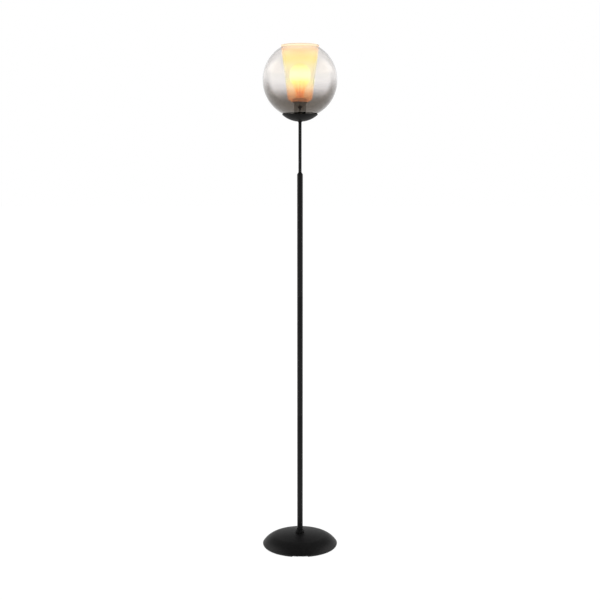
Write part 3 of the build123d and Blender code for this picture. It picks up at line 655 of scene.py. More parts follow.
def lathe(
    name: str,
    outline: Sequence[Point],
    segments: int = 160,
    reach: Callable[[float, Point], float] | None = None,
    crease: float = 32.0,
) -> bpy.types.Object:
    """Turn a closed outline round the axis.

    Args:
        name: the object's name.
        outline: points as radius and height, in mm; it closes on itself or on the axis.
        segments: how many steps a full turn has.
        reach: gives the radius at an angle and outline point, where it isn't the point's own.
        crease: the angle, in degrees, above which an edge stays sharp.

    Returns:
        The turned object.
    """
    points: list[Vector] = []
    rings: list[list[int]] = []
    for point in outline:
        start = len(points)
        if point[0] < 1e-6:
            points.append(Vector((0, 0, point[1] * MM)))
            rings.append([start])
            continue
        for step in range(segments):
            angle = FULL_TURN * step / segments
            across = (reach(angle, point) if reach else point[0]) * MM
            points.append(Vector((across * math.cos(angle), across * math.sin(angle), point[1] * MM)))
        rings.append(list(range(start, start + segments)))
    faces: list[tuple[int, ...]] = []
    for low, high in zip(rings, rings[1:] + rings[:1]):
        if len(low) == 1 and len(high) == 1:
            continue
        for step in range(segments):
            after = (step + 1) % segments
            if len(low) == 1:
                faces.append((low[0], high[after], high[step]))
            elif len(high) == 1:
                faces.append((low[step], low[after], high[0]))
            else:
                faces.append((low[step], low[after], high[after], high[step]))
    return mesh_object(name, points, faces, crease)


@dataclass(frozen=True)
class Thread:
    """A rounded helical thread on the outside of a sleeve, in mm."""

    pitch: float
    depth: float
    bottom: float
    top: float
    run_out: float = 1.5

    def levels(self, steps_a_turn: int = 12) -> list[float]:
        """Heights at which the sleeve's outline needs a point."""
        count = max(2, round((self.top - self.bottom) / self.pitch * steps_a_turn))
        return [self.bottom + (self.top - self.bottom) * i / count for i in range(count + 1)]

    def cut(self, angle: float, height: float) -> float:
        """Depth of the thread at an angle and a height."""
        ends = min(height - self.bottom, self.top - height) / self.run_out
        wave = 0.5 - 0.5 * math.cos(FULL_TURN * height / self.pitch - angle)
        return self.depth * max(0.0, min(1.0, ends)) * wave


def threaded_sleeve(name: str, size: Extent, bore: float, thread: Thread, edge: float) -> bpy.types.Object:
    """A tube with a helical thread outside.

    Args:
        name: the object's name.
        size: its levels and its radius over the thread's crests.
        bore: its inner radius.
        thread: the thread.
        edge: the chamfer of its ends.

    Returns:
        The sleeve.
    """
    outer = [(size.radius, height) for height in thread.levels()]
    outline = [(bore, size.bottom), (size.radius - edge, size.bottom), (size.radius, size.bottom + edge)]
    outline += [p for p in outer if size.bottom + edge < p[1] < size.top - edge]
    outline += [(size.radius, size.top - edge), (size.radius - edge, size.top), (bore, size.top)]

    def reach(angle: float, point: Point) -> float:
        """Radius of the thread's skin."""
        if point[0] < size.radius - 1e-6:
            return point[0]
        return point[0] - thread.cut(angle, point[1])

    return lathe(name, outline, 96, reach, 50.0)


def scalloped_ring(name: str, size: Extent, bore: float, grips: int, dip: float) -> bpy.types.Object:
    """A ring with finger grips round its edge.

    Args:
        name: the object's name.
        size: its levels and outer radius.
        bore: its inner radius.
        grips: how many scallops it has.
        dip: how deep a scallop is.

    Returns:
        The ring.
    """
    edge = 0.6
    outline = rounded(
        [
            (bore, size.bottom, 0.3),
            (size.radius, size.bottom, edge),
            (size.radius, size.top, edge),
            (bore, size.top, 0.3),
        ],
        3,
    )
    width = 2.6 * dip / size.radius

    def reach(angle: float, point: Point) -> float:
        """Radius of the ring's skin, less the scallop at that angle."""
        if point[0] < size.radius - 2 * edge:
            return point[0]
        nearest = (angle * grips / FULL_TURN + 0.5) % 1 - 0.5
        share = abs(nearest * FULL_TURN / grips) / width
        return point[0] - (dip * math.sqrt(1 - share**2) if share < 1 else 0.0)

    return lathe(name, outline, 360, reach, 40.0)


def wires(name: str, routes: Sequence[Sequence[Vector]], radius: float) -> bpy.types.Object:
    """Round wires along smooth routes.

    Args:
        name: the object's name.
        routes: the points of each wire's route, in metres.
        radius: the wires' radius, in mm.

    Returns:
        One mesh object with all the wires.
    """
    curve = bpy.data.curves.new(name + "_route", "CURVE")
    curve.dimensions = "3D"
    curve.bevel_depth = radius * MM
    curve.bevel_resolution = 3
    curve.use_fill_caps = True
    curve.resolution_u = 6
    for route in routes:
        spline = curve.splines.new("NURBS")
        spline.points.add(len(route) - 1)
        for knot, point in zip(spline.points, route):
            knot.co = (point.x, point.y, point.z, 1)
        spline.order_u = 3
        spline.use_endpoint_u = True
    carrier = bpy.data.objects.new(name + "_route", curve)
    mesh = bpy.data.meshes.new_from_object(carrier)
    mesh.name = name
    mesh.shade_smooth()
    bpy.data.objects.remove(carrier)
    made = bpy.data.objects.new(name, mesh)
    bpy.context.scene.collection.objects.link(made)
    return made


# ---------------------------------------------------------------- sub-assemblies


@dataclass
class SubAssembly:
    """Pieces that ride together on one body."""

    body: Body = field(default=Body.LAMP, init=False)
    made: list[str] = field(default_factory=list, init=False)

    def settle(self, piece: bpy.types.Object, finish: Finish, slot: Slot, *nodes: str) -> None:
        """Dress a new piece and put it in the place of its nodes.

        Args:
            piece: the new piece.
            finish: its finish.
            slot: the record's slot that the finish answers to; not used.
            nodes: the CAD nodes that it replaces.
        """
        piece.data.materials.clear()
        piece.data.materials.append(material_of(finish))
        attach(piece, self.body.value)
        if nodes:
            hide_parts(*nodes)
        self.made.append(piece.name)

    def keep(self, finish: Finish, slot: Slot, *nodes: str) -> None:
        """Dress CAD nodes that stay as they are.

        Args:
            finish: their finish.
            slot: the record's slot that the finish answers to; not used.
            nodes: the nodes' names.
        """
        for node in nodes:
            kept = bpy.data.objects[node]
            kept.data.materials.clear()
            kept.data.materials.append(material_of(finish))
            self.made.append(node)

    def build(self) -> list[str]:
        """Build and dress every piece, and give their names."""
        raise NotImplementedError


@dataclass
class DomedBase(SubAssembly):
    """Spun steel dome over a cast weight, with its floor pad and fastenings."""

    widest_level: float = 7.0
    tuck: float = 2.9
    edge_radius: float = 2.0
    edge_angle: float = 35.0
    shoulder_radius: float = 65.0
    height: float = 42.0
    wall: float = 1.2
    stud_hole: float = 5.1
    notch_width: float = 49.0
    notch_height: float = 4.0
    notch_depth: float = 25.0
    collar_fillet: float = 1.2
    pole_slip: float = 0.1

    def skin(self, widest: float, foot: float, seat: float, inset: float) -> list[Point]:
        """Half the dome's outline, from its foot to its seat.

        Args:
            widest: the dome's widest radius.
            foot: the height of its lower edge.
            seat: the height of its flat seat.
            inset: how far the outline is moved inwards.

        Returns:
            The outline's points, from the outside in.
        """
        rise = self.widest_level - foot
        tuck_radius = (self.tuck**2 + rise**2) / (2 * self.tuck)
        tuck_angle = math.degrees(math.asin(rise / tuck_radius))
        edge_centre = widest - self.edge_radius
        step = self.shoulder_radius - self.edge_radius
        turn = math.radians(self.edge_angle)
        across = edge_centre - step * math.cos(turn)
        level = self.widest_level - step * math.sin(turn)
        drop = self.height - level
        crown = (across**2 + drop**2 - self.shoulder_radius**2) / (2 * (drop - self.shoulder_radius))
        centre = self.height - crown
        joint = math.degrees(math.atan2(level - centre, across))
        radius = crown - inset
        last = math.degrees(math.asin(min(1.0, (seat - centre) / radius)))
        points = arc((widest - tuck_radius, self.widest_level), tuck_radius - inset, -tuck_angle, 0, 8)
        points += arc((edge_centre, self.widest_level), self.edge_radius - inset, 0, self.edge_angle, 8)[1:]
        points += arc((across, level), self.shoulder_radius - inset, self.edge_angle, joint, 36)[1:]
        points += arc((0, centre), radius, joint, last, 24)[1:]
        return points

    def dome(self) -> bpy.types.Object:
        """The dome, turned and then notched at the front for a flat lead."""
        size = extent("base_shell")
        outer = self.skin(size.radius, size.bottom, size.top, 0)
        inner = self.skin(size.radius, size.bottom, size.top - self.wall, self.wall)
        inner[0] = (inner[0][0], size.bottom)
        outline = outer + [(self.stud_hole, size.top), (self.stud_hole, size.top - self.wall)] + inner[::-1]
        shell = lathe("domed_shell", outline, 288)
        half = self.notch_width / 2
        near, far = -(size.radius + 5), -(size.radius - self.notch_depth)
        box = [
            Vector((x * MM, y * MM, z * MM))
            for x in (-half, half)
            for y in (near, far)
            for z in (-self.notch_height, self.notch_height)
        ]
        sides = [(0, 1, 3, 2), (4, 6, 7, 5), (0, 4, 5, 1), (2, 3, 7, 6), (0, 2, 6, 4), (1, 5, 7, 3)]
        cutter = mesh_object("notch_cutter", box, sides, 30.0)
        cut = shell.modifiers.new("notch", "BOOLEAN")
        cut.object = cutter
        cut.operation = "DIFFERENCE"
        cut.solver = "EXACT"
        graph = bpy.context.evaluated_depsgraph_get()
        notched = bpy.data.meshes.new_from_object(shell.evaluated_get(graph))
        shell.modifiers.clear()
        shell.data = notched
        shell.data.shade_smooth()
        shell.data.set_sharp_from_angle(angle=math.radians(32))
        bpy.data.objects.remove(cutter)
        return shell

    def collar(self) -> bpy.types.Object:
        """The turned collar at the pole's foot."""
        size = extent("foot_collar")
        bore = extent("pole_section_lower").radius + self.pole_slip
        return lathe(
            "turned_foot_collar",
            rounded(
                [
                    (bore, size.bottom, 0),
                    (size.radius, size.bottom, 0.2),
                    (size.radius, size.top, self.collar_fillet),
                    (bore, size.top, 0.3),
                ],
                6,
            ),
            128,
        )

    def build(self) -> list[str]:
        """Build the dome and collar, and dress what lies under them."""
        self.settle(self.dome(), POWDER_COAT, Slot.POWDER_COAT, "base_shell")
        self.settle(self.collar(), POWDER_COAT, Slot.POWDER_COAT, "foot_collar")
        self.keep(CAST_IRON, Slot.CAST_WEIGHT, "base_weight")
        self.keep(EVA_FOAM, Slot.FOAM_PAD, "floor_pad")
        steel = ("bottom_plate", "plate_screws", "base_stud", "base_washer", "lock_washer", "base_nut")
        self.keep(ZINC_PLATE, Slot.PLATED_STEEL, *steel)
        self.keep(NYLON, Slot.WHITE_NYLON, "terminal_block")
        self.keep(BRASS, Slot.BRASS_CONTACTS, "clamp_screws")
        return self.made


@dataclass
class SteppedPole(SubAssembly):
    """Three screwed tubes, a turned reducer and a thin upper tube."""

    wall: float = 1.5
    seam_edge: float = 0.35
    reducer_tip: float = 5.7
    thin_bore: float = 3.5
    thread_pitch: float = 1.0
    thread_depth: float = 0.5

    def section(self, node: str) -> bpy.types.Object:
        """One tube of the lower pole, with the broken edges that show as a hairline seam.

        Args:
            node: the CAD node that it stands for.

        Returns:
            The tube.
        """
        size = extent(node)
        bore = size.radius - self.wall
        edge = self.seam_edge
        outline = rounded(
            [
                (bore, size.bottom, 0.2),
                (size.radius, size.bottom, edge),
                (size.radius, size.top, edge),
                (bore, size.top, 0.2),
            ],
            3,
        )
        return lathe(node.replace("pole_section", "drawn_tube"), outline, 96)

    def reducer(self) -> bpy.types.Object:
        """The turned cone that steps the pole down."""
        size = extent("reducer_cone")
        hole = extent("upper_tube").radius + 0.1
        outline = rounded(
            [
                (hole, size.bottom, 0),
                (size.radius, size.bottom, 0.25),
                (self.reducer_tip, size.top, 0.3),
                (hole, size.top, 0),
            ],
            3,
        )
        return lathe("turned_reducer", outline, 96)

    def thin_tube(self) -> bpy.types.Object:
        """The thin tube, threaded where the dish and the lampholder screw on."""
        size = extent("upper_tube")
        nut = extent("under_nut")
        thread = Thread(self.thread_pitch, self.thread_depth, nut.bottom - 0.5, size.top)
        return threaded_sleeve("threaded_thin_tube", size, self.thin_bore, thread, 0.3)

    def build(self) -> list[str]:
        """Build the tubes and the reducer, and dress the joints inside."""
        for node in ("pole_section_lower", "pole_section_middle", "pole_section_upper"):
            self.settle(self.section(node), POWDER_COAT, Slot.POWDER_COAT, node)
        self.settle(self.reducer(), POWDER_COAT, Slot.POWDER_COAT, "reducer_cone")
        self.settle(self.thin_tube(), POWDER_COAT, Slot.POWDER_COAT, "upper_tube")
        self.keep(ZINC_PLATE, Slot.PLATED_STEEL, "pole_plugs", "pole_studs")
        self.keep(PVC_SHEATH, Slot.CABLE_SHEATH, "inner_cable")
        self.keep(PVC_CORE, Slot.WIRE_SHEATH, "base_wires", "holder_wires")
        return self.made


@dataclass
class SpunDish(SubAssembly):
    """Shallow spun dish under the globe, with its nut and washer."""

    curve_radius: float = 83.3
    wall: float = 1.2
    flat_radius: float = 12.0
    hole: float = 5.1
    rim_edge: float = 0.3

    def bowl(self) -> bpy.types.Object:
        """The dish: a flat middle, a curved flank and a rounded rim."""
        size = extent("dish")
        centre = size.bottom + math.sqrt(self.curve_radius**2 - self.flat_radius**2)
        inner_radius = self.curve_radius - self.wall
        inner_flat = math.sqrt(inner_radius**2 - (centre - size.bottom - self.wall) ** 2)
        outer_start = -math.degrees(math.acos(self.flat_radius / self.curve_radius))
        outer_end = -math.degrees(math.acos(size.radius / self.curve_radius))
        inner_start = -math.degrees(math.acos(inner_flat / inner_radius))
        inner_end = -math.degrees(math.acos((size.radius - self.rim_edge) / inner_radius))
        outer = arc((0, centre), self.curve_radius, outer_start, outer_end - 0.25, 48)
        inner = arc((0, centre), inner_radius, inner_end - 0.25, inner_start, 48)
        rim = [(size.radius, inner[0][1] - 0.5), (size.radius, inner[0][1] - 0.25)]
        outline = [(self.hole, size.bottom)] + outer + rim + inner + [(self.hole, size.bottom + self.wall)]
        return lathe("spun_dish", outline, 224)

    def nut(self) -> bpy.types.Object:
        """The round nut under the dish, chamfered below."""
        size = extent("under_nut")
        outline = rounded(
            [
                (self.hole, size.bottom, 0),
                (size.radius - 0.8, size.bottom, 0.25),
                (size.radius, size.bottom + 0.8, 0.25),
                (size.radius, size.top, 0.15),
                (self.hole, size.top, 0),
            ],
            3,
        )
        return lathe("turned_under_nut", outline, 96)

    def build(self) -> list[str]:
        """Build the dish and its nut, and dress the fastenings above."""
        # The dish takes the darker, duller copy of the powder coat: painted shade.
        self.settle(self.bowl(), SHADED_DISH_COAT, Slot.POWDER_COAT, "dish")
        self.settle(self.nut(), POWDER_COAT, Slot.POWDER_COAT, "under_nut")
        self.keep(ZINC_PLATE, Slot.PLATED_STEEL, "dish_washer", "dish_nut")
        return self.made


@dataclass
class ThreadedLampholder(SubAssembly):
    """Moulded cup and threaded skirt with their contacts and shade rings."""

    skirt_wall: float = 3.4
    skirt_pitch: float = 2.5
    skirt_depth: float = 0.7
    ring_slip: float = 0.05
    grips: int = 12
    grip_dip: float = 1.5

    def skirt(self) -> bpy.types.Object:
        """The skirt, threaded from above the cup to its rim."""
        size = extent("holder_skirt")
        cup = extent("holder_cup")
        thread = Thread(self.skirt_pitch, self.skirt_depth, cup.top, size.top - 1.0)
        return threaded_sleeve("threaded_skirt", size, size.radius - self.skirt_wall, thread, 0.6)

    def build(self) -> list[str]:
        """Build the skirt and rings, and dress the core and contacts."""
        bore = extent("holder_skirt").radius + self.ring_slip
        self.settle(self.skirt(), PHENOLIC, Slot.BLACK_PLASTIC, "holder_skirt")
        for node in ("globe_ring", "cone_ring_lower", "cone_ring_upper"):
            ring = scalloped_ring("scalloped_" + node, extent(node), bore, self.grips, self.grip_dip)
            self.settle(ring, PHENOLIC, Slot.BLACK_PLASTIC, node)
        self.keep(PHENOLIC, Slot.BLACK_PLASTIC, "holder_cup")
        self.keep(STEATITE, Slot.WHITE_CERAMIC, "holder_core")
        self.keep(BRASS, Slot.BRASS_CONTACTS, "screw_shell", "centre_contact", "side_contact", "terminal_screws")
        self.keep(SILICONE, Slot.SOFT_RUBBER, "globe_gasket", "ring_gasket")
        return self.made


@dataclass
class SmokedGlobe(SubAssembly):
    """Blown glass ball, open at the top."""

    wall: float = 2.6
    hole_radius: float = 20.2
    mouth_radius: float = 59.1
    lip: float = 0.9
    dark_level: float = 1426.0
    clear_level: float = 1520.0

    def ball(self) -> bpy.types.Object:
        """The ball's wall, fire-polished at its mouth and hole."""
        size = extent("globe_glass")
        centre = size.top - math.sqrt(size.radius**2 - self.mouth_radius**2)
        inner = size.radius - self.wall
        top = math.degrees(math.acos(self.mouth_radius / size.radius))
        low = -math.degrees(math.acos(self.hole_radius / size.radius))
        inner_top = math.degrees(math.acos(self.mouth_radius / inner))
        inner_low = -math.degrees(math.acos(self.hole_radius / inner))
        trim = math.degrees(self.lip / size.radius)
        outer_side = arc((0, centre), size.radius, low + trim, top - trim, 96)
        inner_side = arc((0, centre), inner, inner_top - trim, inner_low + trim, 96)
        mouth = self.lip_round(outer_side[-1], inner_side[0], self.mouth_radius, 1)
        foot = self.lip_round(inner_side[-1], outer_side[0], self.hole_radius, -1)
        return lathe("smoked_globe", outer_side + mouth + inner_side + foot, 256)

    def lip_round(self, first: Point, last: Point, radius: float, way: int) -> list[Point]:
        """A few points that round a cut edge of the glass.

        Args:
            first: the last point of the surface before the edge.
            last: the first point of the surface after it.
            radius: the radius of the cut.
            way: 1 for an edge that looks up, -1 for one that looks down.

        Returns:
            The points between the two surfaces.
        """
        points = []
        for share in (0.25, 0.5, 0.75):
            bulge = math.sin(math.pi * share)
            across = first[0] + (last[0] - first[0]) * share
            height = first[1] + (last[1] - first[1]) * share
            points.append((max(across - 0.25 * bulge, radius), height + way * 0.45 * self.lip * bulge))
        return points

    def build(self) -> list[str]:
        """Build the globe."""
        smoke = SmokedBlownGlass("smoked_blown_glass", self.dark_level, self.clear_level)
        self.settle(self.ball(), smoke, Slot.SMOKED_GLASS, "globe_glass")
        return self.made


@dataclass
class FrostedCone(SubAssembly):
    """Frosted glass cone round the bulb, with a flat foot and rounded lower corner."""

    wall: float = 2.5
    foot_radius: float = 37.4
    rim_radius: float = 59.3
    corner: float = 15.4
    hole_radius: float = 20.0
    lip: float = 0.9

    def shade(self) -> bpy.types.Object:
        """The cone's wall, with its rounded foot and fire-polished rim."""
        size = extent("inner_cone")
        slope = (self.rim_radius - self.foot_radius) / size.height
        across = self.wall * math.hypot(1, slope)
        inner_foot = self.foot_radius + self.wall * slope - across
        floor = size.bottom + self.wall
        outline = rounded(
            [
                (self.hole_radius, size.bottom, 0.4),
                (self.foot_radius, size.bottom, self.corner),
                (self.rim_radius, size.top, self.lip),
                (self.rim_radius - across, size.top, self.lip),
                (inner_foot, floor, self.corner - self.wall),
                (self.hole_radius, floor, 0.4),
            ],
            10,
        )
        return lathe("frosted_cone", self.divided(outline), 224)

    def divided(self, outline: list[Point]) -> list[Point]:
        """Divide the long straight flanks, so that the painted glow follows the height.

        Args:
            outline: the closed outline.

        Returns:
            The outline with a point at least every 8 mm.
        """
        points: list[Point] = []
        for here, after in zip(outline, outline[1:] + outline[:1]):
            count = max(1, math.ceil(math.dist(here, after) / 8.0))
            points += [
                (here[0] + (after[0] - here[0]) * i / count, here[1] + (after[1] - here[1]) * i / count)
                for i in range(count)
            ]
        return points

    def build(self) -> list[str]:
        """Build the cone."""
        size = extent("inner_cone")
        frost = FrostedGlassWithPaintedGlow("acid_frosted_glass_painted_glow", size.bottom, size.top)
        self.settle(self.shade(), frost, Slot.FROSTED_GLASS, "inner_cone")
        return self.made


@dataclass
class AmberBulb(SubAssembly):
    """Amber bulb with a screw cap, a glass stem and a cage of leaning filaments."""

    cap_wall: float = 0.5
    cap_pitch: float = 3.62
    cap_depth: float = 1.15
    neck_radius: float = 12.5
    widest_rise: float = 103.0
    flank_radius: float = 60.0
    shoulder_radius: float = 50.0
    glass_wall: float = 0.8
    collar_rise: float = 2.0
    stem_shoulder: float = 4.2
    rod_radius: float = 1.2
    rod_foot_circle: float = 6.4
    rod_head_circle: float = 20.0
    rod_count: int = 8

    def __post_init__(self) -> None:
        """The bulb's pieces ride on the bulb's own body."""
        self.body = Body.BULB

    def skin(self, inset: float) -> list[Point]:
        """Half the envelope's outline, from its neck to its crown.

        Args:
            inset: how far the outline is moved inwards.

        Returns:
            The outline's points.
        """
        size = extent("bulb_glass")
        collar = extent("bulb_cap").top + self.collar_rise
        widest = extent("bulb_contact").bottom + self.widest_rise
        across = size.radius - self.neck_radius
        rise = widest - collar
        reach = (across**2 + rise**2) / (2 * across)
        flare = reach - self.flank_radius
        turn = math.degrees(math.asin(rise / reach))
        crown_rise = size.top - widest
        step = self.shoulder_radius - size.radius
        crown = (step**2 + crown_rise**2 - self.shoulder_radius**2) / (2 * (crown_rise - self.shoulder_radius))
        centre = size.top - crown
        joint = math.degrees(math.atan2(centre - widest, step))
        points = [(self.neck_radius - inset, size.bottom)]
        points += arc((self.neck_radius + flare, collar), flare + inset, 180, 180 - turn, 14)
        points += arc((size.radius - self.flank_radius, widest), self.flank_radius - inset, -turn, 0, 26)[1:]
        points += arc((size.radius - self.shoulder_radius, widest), self.shoulder_radius - inset, 0, joint, 12)[1:]
        points += arc((0, centre), crown - inset, joint, 90, 18)[1:]
        points[-1] = (0.0, points[-1][1])
        return points

    def envelope(self) -> bpy.types.Object:
        """The thin amber envelope, open at the neck where it is cemented in the cap."""
        return lathe("amber_envelope", self.skin(0) + self.skin(self.glass_wall)[::-1], 160)

    def cap(self) -> bpy.types.Object:
        """The rolled screw cap, tapered to its insulator."""
        size = extent("bulb_cap")
        insulator = extent("bulb_insulator").radius
        lead_in = size.radius - insulator
        thread = Thread(self.cap_pitch, self.cap_depth, size.bottom + lead_in, size.top - 3.0, 2.0)
        heights = [h for h in thread.levels(16)]
        outline = [(0.0, size.bottom), (insulator, size.bottom)]
        outline += [(size.radius, h) for h in heights]
        outline += [(size.radius, size.top - 0.4), (size.radius - 0.4, size.top)]
        outline += [(self.neck_radius + 0.1, size.top), (self.neck_radius + 0.1, size.top - 5.0), (0.0, size.top - 5.0)]

        def reach(angle: float, point: Point) -> float:
            """Radius of the rolled thread."""
            if point[0] < size.radius - 1e-6:
                return point[0]
            return point[0] - thread.cut(angle, point[1])

        return lathe("rolled_screw_cap", outline, 112, reach, 45.0)

    def tip(self) -> bpy.types.Object:
        """The solder tip under the cap."""
        size = extent("bulb_contact")
        outline = [(0.0, size.bottom)]
        outline += [(size.radius * math.sin(a), size.top - size.height * math.cos(a) ** 0.7) for a in
                    (math.radians(d) for d in range(10, 90, 10))]
        outline += [(size.radius, size.top), (0.0, size.top)]
        return lathe("solder_tip", outline, 64)

    def insulator(self) -> bpy.types.Object:
        """The black glass ring between cap and tip."""
        size = extent("bulb_insulator")
        outline = rounded(
            [
                (0.0, size.bottom, 0),
                (size.radius - 1.6, size.bottom, 0.5),
                (size.radius, size.top - 0.8, 0.6),
                (size.radius, size.top, 0),
                (0.0, size.top, 0),
            ],
            5,
        )
        return lathe("black_glass_insulator", outline, 96)

    def stem(self) -> bpy.types.Object:
        """The flared glass stem that narrows to a rod with a button at its tip."""
        size = extent("bulb_stem")
        foot = size.bottom
        wide = size.radius
        outline = rounded(
            [
                (0.0, foot, 0),
                (wide, foot, 0.3),
                (wide, foot + 2.0, 0.8),
                (self.stem_shoulder, foot + 3.5, 1.2),
                (self.stem_shoulder, foot + 22.0, 3.0),
                (2.0, foot + 42.0, 6.0),
                (1.8, size.top - 3.4, 0.8),
                (2.0, size.top - 3.0, 0.2),
                (2.0, size.top, 0.9),
                (0.0, size.top, 0),
            ],
            5,
        )
        return lathe("glass_stem", outline, 72, crease=60.0)

    def rods(self) -> list[list[Vector]]:
        """Routes of the glowing rods, which lean outwards from foot to head.

        Returns:
            The ends and the middle of each rod, in metres.
        """
        size = extent("filaments")
        spread = self.rod_head_circle - self.rod_foot_circle
        lean = math.atan2(spread, size.height)
        drop = self.rod_radius * math.sin(lean)
        foot = (self.rod_foot_circle, size.bottom + drop)
        head = (self.rod_head_circle, size.top - drop)
        routes = []
        for index in range(self.rod_count):
            turn = FULL_TURN * index / self.rod_count
            ends = [
                Vector((across * math.cos(turn), across * math.sin(turn), height)) * MM
                for across, height in (foot, head)
            ]
            routes.append([ends[0], (ends[0] + ends[1]) / 2, ends[1]])
        return routes

    def build(self) -> list[str]:
        """Build the envelope, cap, stem and filaments."""
        size = extent("bulb_glass")
        heat = extent("filaments")
        amber = TintedGlass(
            "amber_blown_glass",
            "#FFE6B0",
            bottom=size.bottom,
            top=size.top,
            glow=1.0,
            glow_stops=(
                (0.06, "#592700"),
                (0.18, "#5A2A08"),
                (0.35, "#5E4418"),
                (0.5, "#7C7C51"),
                (0.61, "#959692"),
                (0.73, "#989C9A"),
                (0.9, "#7C7C61"),
                (1.0, "#61593F"),
            ),
        )
        phosphor = GlowingPhosphor("glowing_phosphor_coat", heat.bottom, heat.top)
        self.settle(self.envelope(), amber, Slot.AMBER_GLASS, "bulb_glass")
        self.settle(self.cap(), NICKEL_CAP, Slot.BULB_METAL, "bulb_cap")
        self.settle(self.tip(), NICKEL_CAP, Slot.BULB_METAL, "bulb_contact")
        self.settle(self.insulator(), VITRITE, Slot.BLACK_GLASS, "bulb_insulator")
        self.settle(self.stem(), CLEAR_GLASS, Slot.CLEAR_GLASS, "bulb_stem")
        self.settle(
            wires("glowing_rods", self.rods(), self.rod_radius),
            phosphor, Slot.GLOWING_FILAMENT, "filaments",
        )
        self.keep(NICKEL_WIRE, Slot.SUPPORT_WIRE, "support_wires")
        return self.made


# ---------------------------------------------------------------- studio


@dataclass(frozen=True)
class SoftBox:
    """A soft rectangular lamp: where it stands, what it faces, its size in metres and its power."""

    name: str
    place: tuple[float, float, float]
    target: tuple[float, float, float]
    size: tuple[float, float]
    power: float
    tone: str = "#FFFFFF"

    def build(self) -> None:
        """Add the lamp."""
        light = bpy.data.lights.new(self.name, "AREA")
        light.shape = "RECTANGLE"
        light.size, light.size_y = self.size
        light.energy = self.power
        light.color = linear(self.tone)[:3]
        holder = bpy.data.objects.new(self.name, light)
        holder.location = self.place
        aim = Vector(self.target) - Vector(self.place)
        holder.rotation_euler = aim.to_track_quat("-Z", "Y").to_euler()
        holder.visible_glossy = False
        holder.visible_transmission = False
        bpy.context.scene.collection.objects.link(holder)


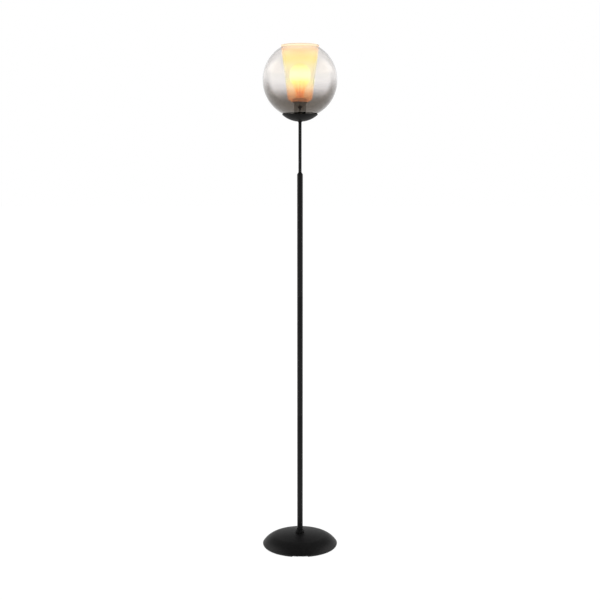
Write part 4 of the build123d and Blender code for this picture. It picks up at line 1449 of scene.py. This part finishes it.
@dataclass(frozen=True)
class Studio:
    """White studio: floor, soft boxes, white surroundings and the camera."""

    camera_distance: float = 3.364
    camera_height: float = 1.225
    camera_pitch: float = 7.094
    focal_pixels: float = 1065.8
    image_width: float = 600.0
    sensor: float = 36.0
    floor_reach: float = 30.0
    wall_top: Point = (0.08, 0.5)
    ceiling_level: float = 0.14
    room_depth: Point = (-0.6, 0.3)
    room_level: float = 0.45
    panel_edge: Point = (0.6, 0.82)
    panel_foot: Point = (0.1, 0.35)
    panel_level: float = 2.0
    boxes: tuple[SoftBox, ...] = (
        SoftBox("overhead_box", (0.0, 1.4, 3.3), (0.0, 0.0, 0.4), (3.0, 2.4), 40.0),
    )

    def camera(self) -> None:
        """Set up the camera in the photograph's place."""
        lens = bpy.data.cameras.new("camera")
        lens.sensor_width = self.sensor
        lens.lens = self.focal_pixels * self.sensor / self.image_width
        lens.clip_start = 0.05
        lens.clip_end = 100.0
        eye = bpy.data.objects.new("camera", lens)
        eye.location = (0.0, -self.camera_distance, self.camera_height)
        eye.rotation_euler = (math.radians(90 - self.camera_pitch), 0.0, 0.0)
        bpy.context.scene.collection.objects.link(eye)
        bpy.context.scene.camera = eye

    def floor(self) -> None:
        """A pale floor that stays white to the camera and keeps a soft shadow."""
        reach = self.floor_reach
        points = [Vector((x, y, 0.0)) for x, y in ((-reach, -reach), (reach, -reach), (reach, reach), (-reach, reach))]
        floor = mesh_object("studio_floor", points, [(0, 1, 2, 3)], 30.0)
        material = bpy.data.materials.new("painted_studio_floor")
        material.use_nodes = True
        tree = material.node_tree
        tree.nodes.clear()
        seen = self.seen_by(tree, True)
        share = add_node(tree, "ShaderNodeMath", {"operation": "MULTIPLY", 1: 0.9}, {0: seen})
        paint = add_node(tree, "ShaderNodeBsdfDiffuse", {"Color": linear("#F4F4F4")})
        white = add_node(tree, "ShaderNodeEmission", {"Color": linear("#FFFFFF"), "Strength": 1.09})
        mix = add_node(
            tree, "ShaderNodeMixShader",
            links={0: share.outputs[0], 1: paint.outputs[0], 2: white.outputs[0]},
        )
        add_node(tree, "ShaderNodeOutputMaterial", links={"Surface": mix.outputs[0]})
        floor.data.materials.append(material)

    def seen_by(self, tree: bpy.types.NodeTree, gloss: bool) -> bpy.types.NodeSocket:
        """Tell the rays that show the white background from those that light the lamp.

        Args:
            tree: the node tree to build in.
            gloss: whether mirrored rays count as well.

        Returns:
            A socket that is 1 for the rays that show it.
        """
        rays = add_node(tree, "ShaderNodeLightPath")
        through = add_node(
            tree,
            "ShaderNodeMath",
            {"operation": "MAXIMUM"},
            {0: rays.outputs["Is Camera Ray"], 1: rays.outputs["Is Transmission Ray"]},
        )
        if not gloss:
            return through.outputs[0]
        mirrored = add_node(
            tree,
            "ShaderNodeMath",
            {"operation": "MAXIMUM"},
            {0: through.outputs[0], 1: rays.outputs["Is Glossy Ray"]},
        )
        return mirrored.outputs[0]

    def fade(
        self, tree: bpy.types.NodeTree, value: bpy.types.NodeSocket, over: Point, levels: Point
    ) -> bpy.types.NodeSocket:
        """Fade smoothly from one level to another.

        Args:
            tree: the node tree to build in.
            value: the socket that the fade follows.
            over: the values between which it fades.
            levels: the levels before and after.

        Returns:
            The socket of the faded level.
        """
        ramp = add_node(
            tree,
            "ShaderNodeMapRange",
            {
                "interpolation_type": "SMOOTHSTEP",
                "From Min": over[0],
                "From Max": over[1],
                "To Min": levels[0],
                "To Max": levels[1],
            },
            {"Value": value},
        )
        return ramp.outputs["Result"]

    def surroundings(self) -> None:
        """White surroundings for the eye; for light and gloss, a white sweep that dims overhead."""
        world = bpy.data.worlds.new("studio")
        world.use_nodes = True
        tree = world.node_tree
        tree.nodes.clear()
        around = add_node(tree, "ShaderNodeTexCoord")
        axes = add_node(tree, "ShaderNodeSeparateXYZ", links={0: around.outputs["Generated"]})
        wall = self.fade(tree, axes.outputs["Z"], self.wall_top, (1.0, self.ceiling_level))
        depth = self.fade(tree, axes.outputs["Y"], self.room_depth, (self.room_level, 1.0))
        side = add_node(tree, "ShaderNodeMath", {"operation": "ABSOLUTE"}, {0: axes.outputs["X"]})
        across = self.fade(tree, side.outputs[0], self.panel_edge, (0.0, self.panel_level))
        above = self.fade(tree, axes.outputs["Z"], self.panel_foot, (0.0, 1.0))
        panel = add_node(tree, "ShaderNodeMath", {"operation": "MULTIPLY"}, {0: across, 1: above})
        sweep = add_node(tree, "ShaderNodeMath", {"operation": "MULTIPLY"}, {0: wall, 1: depth})
        lit = add_node(
            tree, "ShaderNodeMath", {"operation": "MAXIMUM"}, {0: sweep.outputs[0], 1: panel.outputs[0]}
        )
        strength = add_node(
            tree,
            "ShaderNodeMath",
            {"operation": "MAXIMUM"},
            {0: lit.outputs[0], 1: self.seen_by(tree, False)},
        )
        light = add_node(
            tree, "ShaderNodeBackground", {"Color": linear("#FFFFFF")}, {"Strength": strength.outputs[0]}
        )
        add_node(tree, "ShaderNodeOutputWorld", links={"Surface": light.outputs[0]})
        bpy.context.scene.world = world

    def build(self) -> None:
        """Set the whole studio up."""
        self.camera()
        self.floor()
        self.surroundings()
        for box in self.boxes:
            box.build()
        bpy.context.scene.view_settings.view_transform = "Standard"


def corners(bounds: tuple[Vector, Vector]) -> list[list[float]]:
    """Give a box's two corners as plain lists."""
    return [list(bounds[0]), list(bounds[1])]


def main() -> None:
    """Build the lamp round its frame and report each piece."""
    logging.basicConfig(level=logging.INFO, format="%(name)s: %(message)s")
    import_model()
    Studio().build()
    parts = (DomedBase, SteppedPole, SpunDish, ThreadedLampholder, SmokedGlobe, FrostedCone, AmberBulb)
    for part in parts:
        for piece in part().build():
            LOG.info("%s: %s", part.__name__, piece)


if __name__ == "__main__":
    main()
